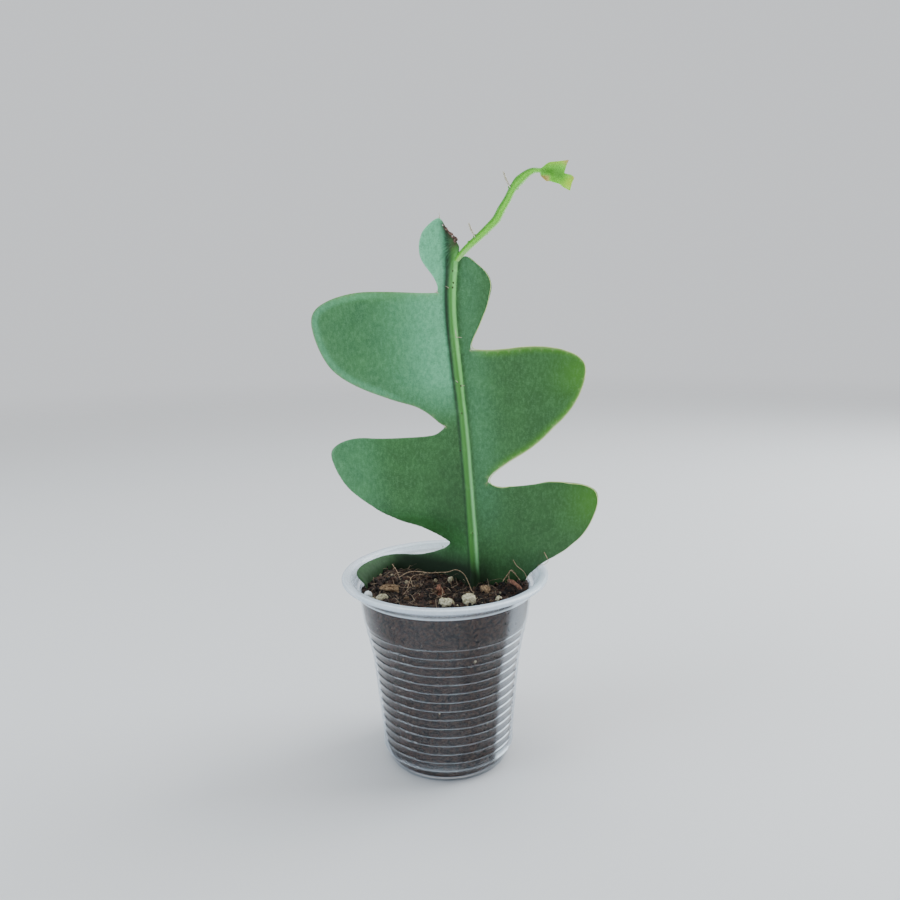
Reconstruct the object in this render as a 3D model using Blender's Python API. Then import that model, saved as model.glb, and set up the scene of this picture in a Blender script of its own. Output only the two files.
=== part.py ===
"""A young fishbone epiphyllum cutting, potted in a small clear ribbed cup.

The scene is in metres with +Z up. The origin is the centre of the cup's flat underside, and
the broad face of the plant looks along -Y. Every size below is in millimetres, as measured on
the plant, and is turned into metres where a mesh is made.
"""

import math
import random

import bmesh
import bpy
from mathutils import Matrix, Vector, noise
from mathutils.geometry import delaunay_2d_cdt

MM = 0.001
GAP = 0.3

# Cup: one thin moulded shell, given by the outer line of its wall and by its ribs and rim.
CUP_SEGMENTS = 36
WALL = 0.5
FLOOR = 0.6
BASE_LINE = [(0.0, 0.0), (16.9, 0.0), (17.9, 0.6), (18.4, 1.8), (19.15, 3.9), (19.6, 4.4), (19.2, 4.9)]
WALL_LINE = [
    (6.0, 19.2),
    (15.0, 19.95),
    (24.0, 20.75),
    (31.6, 21.5),
    (37.1, 22.5),
    (42.6, 23.7),
    (43.4, 24.2),
    (48.0, 24.8),
    (53.4, 25.35),
]
RIB_COUNT = 14
RIB_PITCH = 2.754
TOP_RIB_Z = 42.64
RIB_PROUD = 0.4
RIB_FOOT = 0.8
COLLAR_LINE = [(26.55, 53.7), (26.75, 54.9)]
RIM_RADIUS = 30.0
RIM_WIDTH = 2.74
RIM_HEIGHT = 1.7
RIM_Z = 55.85
RIM_FACETS = 8
LIP_LINE = [(25.9, 54.9), (24.8, 53.6)]

# Soil: it fills the cup to a few millimetres below the rim, and its top is uneven.
SOIL_Z = 52.0
SOIL_GAP = 0.42
SOIL_SEGMENTS = 54
SOIL_RINGS = 14
SOIL_CROWDING = 0.85
SOIL_LUMP = 1.0
SOIL_LUMP_SIZE = 5.5
SOIL_LUMP_SEED = 3.0
SOIL_CRUMB = 0.55
SOIL_CRUMB_SIZE = 1.9
SOIL_CRUMB_SEED = 40.0
SOIL_HEAP = (21.5, -2.5, 1.3, 4.5)

# The basal lobe lies in a shallow trench in the soil, which runs on to the wall behind it.
TRENCH_Z = 49.2
TRENCH_SPAN = (20.0, 50.0)
TRENCH_HALF = 1.4
TRENCH_SLOPE = 1.4
TRENCH_OUTER_RADIUS = 22.2
TRENCH_OUTER_X = -8.0
TRENCH_OUTER_Y = (-4.0, 19.0)

# Stem segment. A point on the flat blade is (across, up): across is the distance from the
# midrib, negative on the left half, and up is the height above the cup's underside.
BLADE_HALF = 0.7
EDGE_HALF = 0.36
EDGE_TAPER = 5.0
OUTLINE_STEP = 1.5
BLADE_GRID = 3.2
GRID_ROW = 0.94
GRID_CLEARANCE = 1.2
RIB_LINE = [
    (36.0, 9.0),
    (52.0, 8.9),
    (71.5, 8.0),
    (96.5, 6.5),
    (112.0, 5.1),
    (127.0, 3.8),
    (137.0, 3.7),
    (145.0, 4.6),
    (151.0, 5.6),
]
BLADE_Y = 0.5
RIB_HALF_WIDTH = 1.3
RIB_TOP_Z = 145.0
RIB_FOOT_Z = 38.0
RIB_FADE = 3.0
RIB_PROUD_FRONT = 1.1
RIB_PROUD_BACK = 0.6
RIB_COLUMNS = [0.0, 0.75, -0.75, 1.3, -1.3, 2.4, -2.4]
RIB_GRID = 3.0
RIB_SURROUND = 4.0
RIGHT_BOW = 0.0012
LEFT_FOLD = math.radians(9.0)
LEFT_FOLD_START = 4.0
CURL_TOP_Z = 75.0
CURL_FOOT_Z = 59.0
CURL_PATH = [
    (8.9, 0.5),
    (0.5, 7.5),
    (-8.5, 13.3),
    (-16.0, 14.9),
    (-20.9, 9.5),
    (-22.9, 2.3),
    (-22.2, -5.5),
]
CURL_LEAN = 1.3
CURL_LEAN_FROM = 53.6
CURL_LEAN_RISE = 3.0
CURL_LEAN_REACH = (15.0, 21.0)
AREOLES = [141.7, 138.2, 124.4, 120.8, 111.4, 103.0, 92.2, 81.0, 68.0]
AREOLE_RADIUS = 0.55
AREOLE_PROUD = 0.4
AREOLE_SIDES = 6

# Each stretch of the blade's outline runs from one sinus or corner to the next, anticlockwise
# as seen from the front, and starts where the one before it ends.
TOP_RIGHT_LOBE = [
    (4.2, 120.4),
    (4.4, 121.9),
    (7.0, 126.6),
    (9.3, 131.5),
    (10.5, 135.2),
    (10.8, 137.8),
    (9.6, 140.8),
    (7.0, 143.0),
    (4.0, 145.0),
    (2.8, 145.3),
]
SHOOT_NOTCH = [(2.8, 145.3), (1.6, 145.3), (0.6, 146.1), (-0.1, 147.4)]
APEX_EDGE = [
    (-0.1, 147.4),
    (-0.9, 148.4),
    (-1.8, 149.5),
    (-2.8, 150.5),
    (-3.8, 151.6),
    (-4.9, 153.0),
    (-5.5, 154.4),
    (-6.4, 155.2),
]
TOP_LEFT_LOBE = [
    (-6.4, 155.2),
    (-8.4, 154.3),
    (-10.3, 151.8),
    (-10.6, 148.6),
    (-9.3, 144.9),
    (-5.9, 140.9),
    (-4.2, 138.2),
    (-4.0, 136.1),
]
UPPER_LEFT_LOBE = [
    (-4.0, 136.1),
    (-8.8, 136.2),
    (-17.4, 136.7),
    (-26.0, 136.7),
    (-33.0, 135.4),
    (-37.8, 133.2),
    (-40.1, 130.5),
    (-40.4, 126.2),
    (-38.5, 119.2),
    (-35.2, 114.2),
    (-28.8, 110.1),
    (-20.2, 106.7),
    (-13.4, 104.7),
    (-9.6, 102.5),
    (-6.8, 99.9),
    (-5.3, 99.0),
]
LOWER_LEFT_LOBE = [
    (-5.3, 99.0),
    (-6.6, 97.9),
    (-9.2, 96.5),
    (-16.0, 95.8),
    (-24.8, 95.5),
    (-30.7, 95.6),
    (-35.5, 94.6),
    (-39.3, 92.3),
    (-39.9, 89.3),
    (-38.2, 84.2),
    (-35.1, 79.8),
    (-29.8, 75.6),
    (-22.4, 70.6),
    (-16.4, 68.2),
    (-11.9, 65.5),
    (-8.7, 63.6),
]
BASAL_LOBE = [
    (-8.7, 63.6),
    (-10.4, 61.8),
    (-15.3, 59.2),
    (-21.2, 57.4),
    (-26.7, 56.2),
    (-34.0, 55.9),
    (-43.0, 56.1),
    (-47.6, 55.6),
    (-49.8, 53.6),
    (-48.2, 51.4),
    (-43.0, 50.2),
    (-30.0, 50.0),
    (-19.0, 49.6),
    (-12.0, 47.6),
]
FOOT = [
    (-12.0, 47.6),
    (-7.0, 43.5),
    (-3.5, 38.6),
    (-1.2, 36.2),
    (1.4, 36.2),
    (4.6, 39.0),
    (9.0, 44.3),
    (13.2, 50.5),
    (16.1, 54.8),
]
LOWER_RIGHT_LOBE = [
    (16.1, 54.8),
    (19.0, 57.1),
    (21.6, 58.8),
    (25.2, 60.6),
    (31.0, 64.9),
    (34.2, 68.7),
    (36.4, 73.5),
    (37.3, 77.2),
    (36.3, 79.7),
    (32.3, 81.5),
    (25.0, 82.3),
    (17.5, 81.7),
    (10.0, 81.2),
    (7.1, 81.7),
    (5.4, 82.7),
]
UPPER_RIGHT_LOBE = [
    (5.4, 82.7),
    (5.6, 83.6),
    (7.2, 85.4),
    (12.3, 88.9),
    (18.2, 92.3),
    (24.3, 97.3),
    (30.4, 103.1),
    (34.1, 108.8),
    (35.8, 114.1),
    (35.3, 116.7),
    (32.5, 118.8),
    (27.5, 120.4),
    (21.0, 121.0),
    (15.0, 120.5),
    (9.6, 120.2),
    (5.6, 120.4),
    (4.2, 120.4),
]

# The slot that the foot stands in is cut by a sheet of the blade's own shape with room round it.
SLOT_LIP = [(18.6, 57.4), (18.6, 61.0), (-25.0, 61.0), (-25.0, 49.9)]
SLOT_ROOM = 0.4
SLOT_STEP = 2.4
SLOT_GRID = 2.6
SLOT_RIB_SPREAD = 1.25
SLOT_CLEARANCE = 0.5

# Dry tip: the corky scar that closes the apex edge, given as the blade's outline is.
SCAR_OUTLINE = [
    (0.3, 147.9),
    (1.0, 148.6),
    (0.4, 149.5),
    (-0.6, 150.3),
    (-1.4, 151.4),
    (-2.5, 152.1),
    (-3.3, 153.1),
    (-4.4, 153.8),
    (-5.0, 154.2),
    (-4.5, 153.0),
    (-3.4, 151.8),
    (-2.5, 150.8),
    (-1.5, 149.8),
    (-0.6, 148.8),
]
SCAR_HALF = 0.75
SCAR_STEP = 0.6
SCAR_ROUGH = 0.15
SCAR_GRAIN = 1.3

# New shoot: (x, y, z) down its middle, its thickness there, and its flat flared tip.
SHOOT_LINE = [
    (6.3, 0.3, 146.5),
    (7.9, 0.2, 148.4),
    (9.8, 0.1, 150.3),
    (13.3, 0.0, 153.2),
    (15.4, 0.0, 155.0),
    (16.8, 0.0, 157.4),
    (18.5, 0.0, 160.0),
    (19.9, -0.1, 162.5),
    (21.9, -0.2, 164.8),
    (25.2, -0.3, 166.9),
    (28.0, -0.4, 166.9),
]
SHOOT_RADII = [0.7, 0.72, 0.75, 0.85, 0.9, 0.98, 1.0, 0.98, 0.9, 0.58, 0.4]
SHOOT_SIDES = 6
TIP_HALF = 0.4
TIP_STEP = 1.0
TIP_GRID = 1.2
TIP_OUTLINE = [
    (26.4, 167.5),
    (27.5, 168.3),
    (30.2, 169.3),
    (35.0, 169.6),
    (34.5, 168.5),
    (33.9, 166.4),
    (35.8, 165.9),
    (36.6, 165.2),
    (35.9, 163.9),
    (35.2, 161.7),
    (33.6, 162.7),
    (32.6, 163.7),
    (30.0, 164.5),
    (27.7, 164.4),
    (27.5, 165.9),
    (26.4, 166.6),
]
SHOOT_NODES = [(7.8, 149.0), (12.2, 151.4), (17.4, 156.9), (20.7, 162.6)]
SHOOT_NODE_RADIUS = 0.6
BRISTLES = [
    ((9.8, 0.0, 150.6), (8.3, -0.6, 153.6)),
    ((19.8, 0.0, 163.0), (17.7, -0.8, 166.8)),
]
BRISTLE_RADIUS = 0.3
BRISTLE_TIP_RADIUS = 0.1

# Loose pieces on the soil: (x, y), and the half sizes along their own three axes.
PERLITE = [
    ((-21.9, -6.6), (1.2, 1.2, 1.2)),
    ((-20.6, -9.2), (0.8, 0.8, 0.7)),
    ((-17.6, -10.2), (1.8, 1.3, 1.1)),
    ((0.3, -15.2), (2.3, 1.6, 1.5)),
    ((6.6, -14.4), (2.3, 1.8, 2.0)),
    ((15.0, -11.5), (1.1, 1.0, 0.9)),
    ((1.7, 3.3), (1.0, 0.9, 1.2)),
]
BARK = [
    ((-16.2, -2.3), (2.6, 1.5, 1.2)),
    ((-1.4, -6.3), (1.2, 1.0, 2.6)),
    ((11.6, -4.6), (1.9, 1.3, 1.3)),
]
GRAIN_SINK = 0.25
GRAIN_ROUGHNESS = 0.1
GRAIN_LUMPS = 1.7
GRAIN_TILT = 0.3
POCKET_GROWTH = 1.2
STICK = [(18.4, -3.0, 54.4), (20.2, -5.6, 54.1), (21.6, -8.2, 53.4)]
STICK_RADIUS = 0.6

# Fine roots that lie over the soil. Their ends rest on it, so only the points between have
# their own height above it.
ROOT_RADIUS = 0.3
ROOT_SIDES = 5
ROOT_REST = 0.55
ROOTS = [
    [(-13.8, 5.0, 0.0), (-12.2, 4.0, 1.6), (-10.4, 3.2, 2.3), (-7.4, 2.4, 2.4), (-4.4, 1.8, 2.4),
     (-1.4, 1.0, 2.8), (0.9, 0.3, 3.3), (3.0, -0.6, 4.3), (4.7, -1.5, 4.4), (5.9, -2.4, 3.4),
     (6.9, -4.0, 1.7), (7.6, -6.5, 0.4), (8.2, -9.0, 0.0)],
    [(-11.6, 7.0, 0.0), (-10.9, 4.9, 0.9), (-10.3, 2.0, 0.5), (-9.3, -3.0, 0.0)],
    [(-6.3, 6.0, 0.0), (-7.7, 4.0, 1.2), (-9.7, 0.0, 1.5), (-11.0, -4.0, 0.0)],
    [(16.8, -1.3, 0.0), (18.4, -1.2, 1.9), (19.2, -1.2, 2.6), (20.6, -1.3, 1.6), (21.8, -1.6, 0.0)],
]


def clear_scene():
    """Removes every object, so that the file holds only this model."""
    for old in list(bpy.data.objects):
        bpy.data.objects.remove(old, do_unlink=True)


def material(name, colour, roughness, alpha=1.0, transmission=0.0):
    """A Principled BSDF material in one colour."""
    made = bpy.data.materials.new(name)
    made.use_nodes = True
    shader = made.node_tree.nodes["Principled BSDF"]
    shader.inputs["Base Color"].default_value = (*colour, 1.0)
    shader.inputs["Roughness"].default_value = roughness
    shader.inputs["Metallic"].default_value = 0.0
    shader.inputs["Alpha"].default_value = alpha
    shader.inputs["Transmission Weight"].default_value = transmission
    made.diffuse_color = (*colour, alpha)
    return made


def add_object(name, mesh_data, finish):
    """Turns a bmesh in millimetres into an object in metres."""
    bmesh.ops.scale(mesh_data, vec=(MM, MM, MM), verts=mesh_data.verts)
    bmesh.ops.recalc_face_normals(mesh_data, faces=mesh_data.faces)
    mesh = bpy.data.meshes.new(name)
    mesh_data.to_mesh(mesh)
    mesh_data.free()
    mesh.materials.append(finish)
    made = bpy.data.objects.new(name, mesh)
    bpy.context.collection.objects.link(made)
    mesh.shade_smooth()
    mesh.set_sharp_from_angle(angle=math.radians(40.0))
    return made


def combine(target, helpers, operation):
    """Joins or cuts the target with each helper in turn, then removes the helpers."""
    for helper in helpers:
        helper.hide_render = True
        helper.display_type = "WIRE"
        boolean = target.modifiers.new(helper.name, "BOOLEAN")
        boolean.operation = operation
        boolean.solver = "EXACT"
        boolean.object = helper
    graph = bpy.context.evaluated_depsgraph_get()
    result = bpy.data.meshes.new_from_object(target.evaluated_get(graph))
    target.modifiers.clear()
    target.data = result
    for helper in helpers:
        bpy.data.objects.remove(helper, do_unlink=True)


def smoothstep(value):
    """0 below 0, 1 above 1, and a smooth rise between."""
    value = max(0.0, min(1.0, value))
    return value * value * (3.0 - 2.0 * value)


def read_line(line, position):
    """The value at a position on a line given as (position, value) pairs in rising order."""
    if position <= line[0][0]:
        return line[0][1]
    for (low, value), (high, next_value) in zip(line, line[1:]):
        if position <= high:
            return value + (next_value - value) * (position - low) / (high - low)
    return line[-1][1]


def smooth_line(points, pieces):
    """Points on the Catmull-Rom curve through the given points, with that many per span."""
    knots = [Vector(point) for point in points]
    knots = [2.0 * knots[0] - knots[1], *knots, 2.0 * knots[-1] - knots[-2]]
    made = []
    for first, second, third, fourth in zip(knots, knots[1:], knots[2:], knots[3:]):
        for step in range(pieces):
            t = step / pieces
            made.append(
                0.5
                * (
                    2.0 * second
                    + (third - first) * t
                    + (2.0 * first - 5.0 * second + 4.0 * third - fourth) * t * t
                    + (3.0 * second - first - 3.0 * third + fourth) * t * t * t
                )
            )
    made.append(knots[-2])
    return made


def spaced(points, step):
    """Points about one step apart along a line of points, with both its ends kept."""
    lengths = [0.0]
    for first, second in zip(points, points[1:]):
        lengths.append(lengths[-1] + (second - first).length)
    count = max(1, round(lengths[-1] / step))
    made = []
    index = 0
    for number in range(count + 1):
        wanted = lengths[-1] * number / count
        while index < len(points) - 2 and lengths[index + 1] < wanted:
            index += 1
        run = lengths[index + 1] - lengths[index]
        share = (wanted - lengths[index]) / run
        made.append(points[index].lerp(points[index + 1], share))
    return made


def outline_of(stretches, step=OUTLINE_STEP):
    """One closed loop through the stretches, smooth along each and sharp where they meet."""
    loop = []
    for stretch in stretches:
        loop += spaced(smooth_line(stretch, 8), step)[:-1]
    return loop


def turned(name, profile, segments, finish):
    """A closed solid turned round the Z axis from (radius, z) points that start and end on it."""
    shape = bmesh.new()
    rings = [shape.verts.new((radius, 0.0, z)) for radius, z in profile]
    edges = [shape.edges.new(pair) for pair in zip(rings, rings[1:])]
    bmesh.ops.spin(
        shape,
        geom=rings + edges,
        cent=(0.0, 0.0, 0.0),
        axis=(0.0, 0.0, 1.0),
        angle=math.tau,
        steps=segments,
        use_merge=True,
    )
    bmesh.ops.remove_doubles(shape, verts=shape.verts, dist=0.0001)
    return add_object(name, shape, finish)


def rim_profile():
    """The rolled bead, from under its outer side over the top to its inner side."""
    middle = RIM_RADIUS - RIM_WIDTH / 2.0
    made = []
    for number in range(RIM_FACETS):
        angle = math.radians(-110.0 + 290.0 * number / (RIM_FACETS - 1))
        radius = middle + RIM_WIDTH / 2.0 * math.cos(angle)
        made.append((radius, RIM_Z + RIM_HEIGHT / 2.0 * math.sin(angle)))
    return made


def rib_profile():
    """The stacked ribs, lowest first, as the valley below and the crest of each."""
    made = []
    for number in reversed(range(RIB_COUNT)):
        crest = TOP_RIB_Z - number * RIB_PITCH
        made.append((read_line(WALL_LINE, crest - RIB_FOOT), crest - RIB_FOOT))
        made.append((read_line(WALL_LINE, crest) + RIB_PROUD, crest))
    return made


def inner_profile():
    """The inside of the shell, from under the rim down to the edge of the floor."""
    wall = [(radius - WALL, z) for z, radius in reversed(WALL_LINE)]
    return [*LIP_LINE, *wall[1:], (17.8, 1.9), (16.8, FLOOR)]


def cup_inner_radius(z):
    """The radius of the inside of the cup at a height."""
    return read_line([(height, radius) for radius, height in reversed(inner_profile())], z)


def make_cup():
    """The clear ribbed cup, open at the top."""
    upper_wall = [(radius, z) for z, radius in WALL_LINE if z > TOP_RIB_Z]
    profile = BASE_LINE + rib_profile() + upper_wall + COLLAR_LINE + rim_profile()
    profile += inner_profile() + [(0.0, FLOOR)]
    clear = material("clear_plastic", (0.82, 0.87, 0.92), 0.12, alpha=0.35, transmission=0.6)
    return turned("cup", profile, CUP_SEGMENTS, clear)


def rib_x(up):
    """Where the middle of the midrib is at a height."""
    return read_line(RIB_LINE_SMOOTH, up)


def curled_point(distance):
    """The point a distance along the path of the basal lobe."""
    wanted = min(distance, CURL_LENGTHS[-1])
    index = min(int(wanted / CURL_LENGTHS[-1] * (len(CURL_LENGTHS) - 1)), len(CURL_POINTS) - 2)
    while index > 0 and CURL_LENGTHS[index] > wanted:
        index -= 1
    while index < len(CURL_POINTS) - 2 and CURL_LENGTHS[index + 1] < wanted:
        index += 1
    share = (wanted - CURL_LENGTHS[index]) / (CURL_LENGTHS[index + 1] - CURL_LENGTHS[index])
    return CURL_POINTS[index].lerp(CURL_POINTS[index + 1], share)


def blade_point(across, up):
    """Where a point of the flat blade lies: the middle of its thickness, in space."""
    middle = rib_x(up)
    if across >= 0.0:
        return Vector((middle + across, BLADE_Y + RIGHT_BOW * across * across, up))
    distance = -across
    back = math.sin(LEFT_FOLD) * distance * distance / (distance + LEFT_FOLD_START)
    folded = Vector((middle - distance * math.cos(LEFT_FOLD), BLADE_Y + back))
    share = smoothstep((CURL_TOP_Z - up) / (CURL_TOP_Z - CURL_FOOT_Z))
    place = folded.lerp(curled_point(distance), share)
    if up > CURL_LEAN_FROM and share > 0.5:
        reach = place.length
        start, full = CURL_LEAN_REACH
        lean = CURL_LEAN * min(up - CURL_LEAN_FROM, CURL_LEAN_RISE)
        place *= 1.0 + lean * smoothstep((reach - start) / (full - start)) / reach
    return Vector((place.x, place.y, up))


def blade_normal(across, up):
    """The direction that the front of the blade faces at a point."""
    reach = 0.4
    along = blade_point(across + reach, up) - blade_point(across - reach, up)
    upward = blade_point(across, up + reach) - blade_point(across, up - reach)
    return along.cross(upward).normalized()


def rib_rise(across, up, room=0.0):
    """How far the midrib stands out of the blade, as a share of its full height."""
    offset = min(1.0, max(0.0, abs(across) - room) / RIB_HALF_WIDTH)
    top = smoothstep((RIB_TOP_Z - up) / RIB_FADE + 0.5)
    foot = smoothstep((up - RIB_FOOT_Z) / RIB_FADE + 0.5)
    return math.sqrt(1.0 - offset * offset) * top * foot


def areole_rise(across, up):
    """The small bump at each areole of the midrib."""
    rise = 0.0
    for height in AREOLES:
        offset = math.hypot(across, up - height) / AREOLE_RADIUS
        rise = max(rise, AREOLE_PROUD * (1.0 - smoothstep(offset)))
    return rise


def inside(point, loop):
    """Whether a flat point lies inside a closed loop."""
    crossings = 0
    for first, second in zip(loop, loop[1:] + loop[:1]):
        if (first.y > point.y) != (second.y > point.y):
            share = (point.y - first.y) / (second.y - first.y)
            crossings += point.x < first.x + share * (second.x - first.x)
    return crossings % 2 == 1


def nearest(point, others):
    """The distance from a point to the nearest of some others."""
    return min((point - other).length for other in others)


def grid_inside(loop, step, clearance):
    """The points of a staggered grid that lie inside a closed loop and clear of it."""
    low_x = min(point.x for point in loop)
    low_y = min(point.y for point in loop)
    columns = int((max(point.x for point in loop) - low_x) / step) + 1
    rows = int((max(point.y for point in loop) - low_y) / (step * GRID_ROW)) + 1
    points = []
    for row in range(rows):
        for column in range(columns):
            x = low_x + (column + row % 2 / 2.0) * step
            point = Vector((x, low_y + row * step * GRID_ROW))
            if inside(point, loop) and nearest(point, loop) > clearance:
                points.append(point)
    return points


def areole_points():
    """Each areole's middle and a ring of points round it."""
    points = []
    for height in AREOLES:
        middle = Vector((0.0, height))
        points.append(middle)
        for number in range(AREOLE_SIDES):
            angle = math.tau * number / AREOLE_SIDES
            points.append(middle + Vector((math.cos(angle), math.sin(angle))) * AREOLE_RADIUS)
    return points


def blade_inner_points(loop):
    """The points inside the outline: rings at the areoles, columns along the midrib, a grid."""
    bumps = areole_points()
    points = list(bumps)
    for column in RIB_COLUMNS:
        for number in range(int((RIB_TOP_Z - RIB_FOOT_Z) / RIB_GRID) + 1):
            point = Vector((column, RIB_FOOT_Z + number * RIB_GRID))
            apart = nearest(point, bumps) > AREOLE_RADIUS * 0.8
            if apart and inside(point, loop) and nearest(point, loop) > GRID_CLEARANCE / 2.0:
                points.append(point)
    grid = grid_inside(loop, BLADE_GRID, GRID_CLEARANCE)
    return points + [point for point in grid if abs(point.x) > RIB_SURROUND]


def blade_halves(across, up, from_edge, room):
    """The thickness before and behind the middle of the blade, or of a slot with room round it."""
    body = EDGE_HALF + (BLADE_HALF - EDGE_HALF) * smoothstep(from_edge / EDGE_TAPER)
    if room:
        body = BLADE_HALF + room
    front = body + RIB_PROUD_FRONT * rib_rise(across, up, room) + areole_rise(across, up)
    back = body + RIB_PROUD_BACK * rib_rise(across, up, room)
    return front, back


def skin(shape, loop, inner_points, front_and_back):
    """Adds a front and a back sheet with the same triangles, joined round their outline."""
    flat = loop + inner_points
    count = len(loop)
    edges = [(number, (number + 1) % count) for number in range(count)]
    points, _, faces, _, _, _ = delaunay_2d_cdt(flat, edges, [list(range(count))], 1, 1e-5)
    pairs = [front_and_back(point.x, point.y) for point in points]
    fronts = [shape.verts.new(pair[0]) for pair in pairs]
    backs = [shape.verts.new(pair[1]) for pair in pairs]
    used = {}
    for face in faces:
        shape.faces.new([fronts[index] for index in face])
        shape.faces.new([backs[index] for index in reversed(face)])
        for first, second in zip(face, list(face[1:]) + [face[0]]):
            used[(first, second)] = True
    for first, second in used:
        if (second, first) not in used:
            shape.faces.new([fronts[second], fronts[first], backs[first], backs[second]])
    bmesh.ops.triangulate(shape, faces=[face for face in shape.faces if len(face.verts) > 3])


def make_sheet(name, loop, inner_points, finish, room=0.0):
    """A solid with the blade's fold and thickness over a flat outline."""

    def both_sides(across, up):
        point = Vector((across, up))
        from_edge = nearest(point, loop)
        front, back = blade_halves(across, up, from_edge, room)
        middle = blade_point(across, up)
        normal = blade_normal(across, up)
        return middle + normal * front, middle - normal * back

    shape = bmesh.new()
    skin(shape, loop, inner_points, both_sides)
    return add_object(name, shape, finish)


def make_stem_segment():
    """The flat lobed segment with its midrib, areoles and planted foot."""
    loop = outline_of(
        [
            TOP_RIGHT_LOBE,
            SHOOT_NOTCH,
            APEX_EDGE,
            TOP_LEFT_LOBE,
            UPPER_LEFT_LOBE,
            LOWER_LEFT_LOBE,
            BASAL_LOBE,
            FOOT,
            LOWER_RIGHT_LOBE,
            UPPER_RIGHT_LOBE,
        ]
    )
    green = material("stem_green", (0.055, 0.17, 0.065), 0.4)
    return make_sheet("stem_segment", loop, blade_inner_points(loop), green)


def grown(stretch, distance):
    """A stretch moved outwards, to its right as it runs."""
    moved = []
    for number, point in enumerate(stretch):
        before = Vector(stretch[max(0, number - 1)])
        after = Vector(stretch[min(len(stretch) - 1, number + 1)])
        run = (after - before).normalized()
        moved.append(Vector(point) + Vector((run.y, -run.x)) * distance)
    return moved


def slot_cutter(finish):
    """The hole that the foot and the start of the basal lobe stand in."""
    buried = grown(BASAL_LOBE[-3:] + FOOT[1:], SLOT_ROOM)
    loop = outline_of([buried, [buried[-1], *SLOT_LIP, buried[0]]], SLOT_STEP)
    columns = [column * SLOT_RIB_SPREAD for column in RIB_COLUMNS]
    columns += [number * SLOT_GRID for number in range(-9, 6) if abs(number) > 1]
    points = []
    for row in range(10):
        for column in columns:
            point = Vector((column, RIB_FOOT_Z + row * SLOT_STEP))
            if inside(point, loop) and nearest(point, loop) > SLOT_CLEARANCE:
                points.append(point)
    return make_sheet("slot_cutter", loop, points, finish, GAP)


def distance_to_curl(place):
    """The distance from a point to the run of the basal lobe that only rests on the soil."""
    low, high = TRENCH_SPAN
    return nearest(place, [p for p, run in zip(CURL_POINTS, CURL_LENGTHS) if low < run < high])


def soil_height(x, y):
    """The height of the uneven top of the soil."""
    lumps = SOIL_LUMP * noise.noise(Vector((x, y, SOIL_LUMP_SEED)) / SOIL_LUMP_SIZE)
    crumbs = SOIL_CRUMB * noise.noise(Vector((x, y, SOIL_CRUMB_SEED)) / SOIL_CRUMB_SIZE)
    heap_x, heap_y, heap_rise, heap_size = SOIL_HEAP
    heap = heap_rise * math.exp(-((x - heap_x) ** 2 + (y - heap_y) ** 2) / heap_size**2)
    height = SOIL_Z + lumps + crumbs + heap
    place = Vector((x, y))
    beyond = x < TRENCH_OUTER_X and place.length > TRENCH_OUTER_RADIUS
    if beyond and TRENCH_OUTER_Y[0] < y < TRENCH_OUTER_Y[1]:
        return TRENCH_Z
    away = distance_to_curl(place)
    return height + (TRENCH_Z - height) * (1.0 - smoothstep((away - TRENCH_HALF) / TRENCH_SLOPE))


def soil_outline():
    """(radius, z) down the side of the soil and along its underside."""
    side = [(radius - SOIL_GAP, z) for radius, z in inner_profile() if z < TRENCH_Z - 1.0]
    return [*side[:-1], (side[-1][0] - GAP, FLOOR + GAP)]


def make_soil(finish):
    """The body of soil, a turned side under a top that rises and falls."""
    shape = bmesh.new()
    edge = cup_inner_radius(TRENCH_Z) - SOIL_GAP
    rings = []
    for number in range(1, SOIL_RINGS + 1):
        ring = []
        for segment in range(SOIL_SEGMENTS):
            angle = math.tau * segment / SOIL_SEGMENTS
            radius = edge * (number / SOIL_RINGS) ** SOIL_CROWDING
            x = radius * math.cos(angle)
            y = radius * math.sin(angle)
            ring.append(shape.verts.new((x, y, soil_height(x, y))))
        rings.append(ring)
    for radius, z in soil_outline():
        ring = []
        for segment in range(SOIL_SEGMENTS):
            angle = math.tau * segment / SOIL_SEGMENTS
            ring.append(shape.verts.new((radius * math.cos(angle), radius * math.sin(angle), z)))
        rings.append(ring)
    top = shape.verts.new((0.0, 0.0, soil_height(0.0, 0.0)))
    bottom = shape.verts.new((0.0, 0.0, FLOOR + GAP))
    for segment in range(SOIL_SEGMENTS):
        following = (segment + 1) % SOIL_SEGMENTS
        shape.faces.new((top, rings[0][segment], rings[0][following]))
        shape.faces.new((bottom, rings[-1][following], rings[-1][segment]))
        for upper, lower in zip(rings, rings[1:]):
            shape.faces.new((upper[segment], lower[segment], lower[following], upper[following]))
    return add_object("soil", shape, finish)


def sweep(shape, points, radii, sides):
    """Adds a closed tube along points, with its own radius at each."""
    side = Vector((0.0, 1.0, 0.0))
    rings = []
    for number, point in enumerate(points):
        ahead = points[min(number + 1, len(points) - 1)] - points[max(number - 1, 0)]
        ahead.normalize()
        side = (side - ahead * side.dot(ahead)).normalized()
        other = ahead.cross(side)
        ring = []
        for corner in range(sides):
            angle = math.tau * corner / sides
            offset = side * math.cos(angle) + other * math.sin(angle)
            ring.append(shape.verts.new(point + offset * radii[number]))
        rings.append(ring)
    for first, second in zip(rings, rings[1:]):
        for corner in range(sides):
            after = (corner + 1) % sides
            shape.faces.new((first[corner], first[after], second[after], second[corner]))
    shape.faces.new(rings[0][::-1])
    shape.faces.new(rings[-1])


def tube(name, points, radii, sides, finish):
    """An object made of one closed tube."""
    shape = bmesh.new()
    sweep(shape, points, radii, sides)
    return add_object(name, shape, finish)


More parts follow.
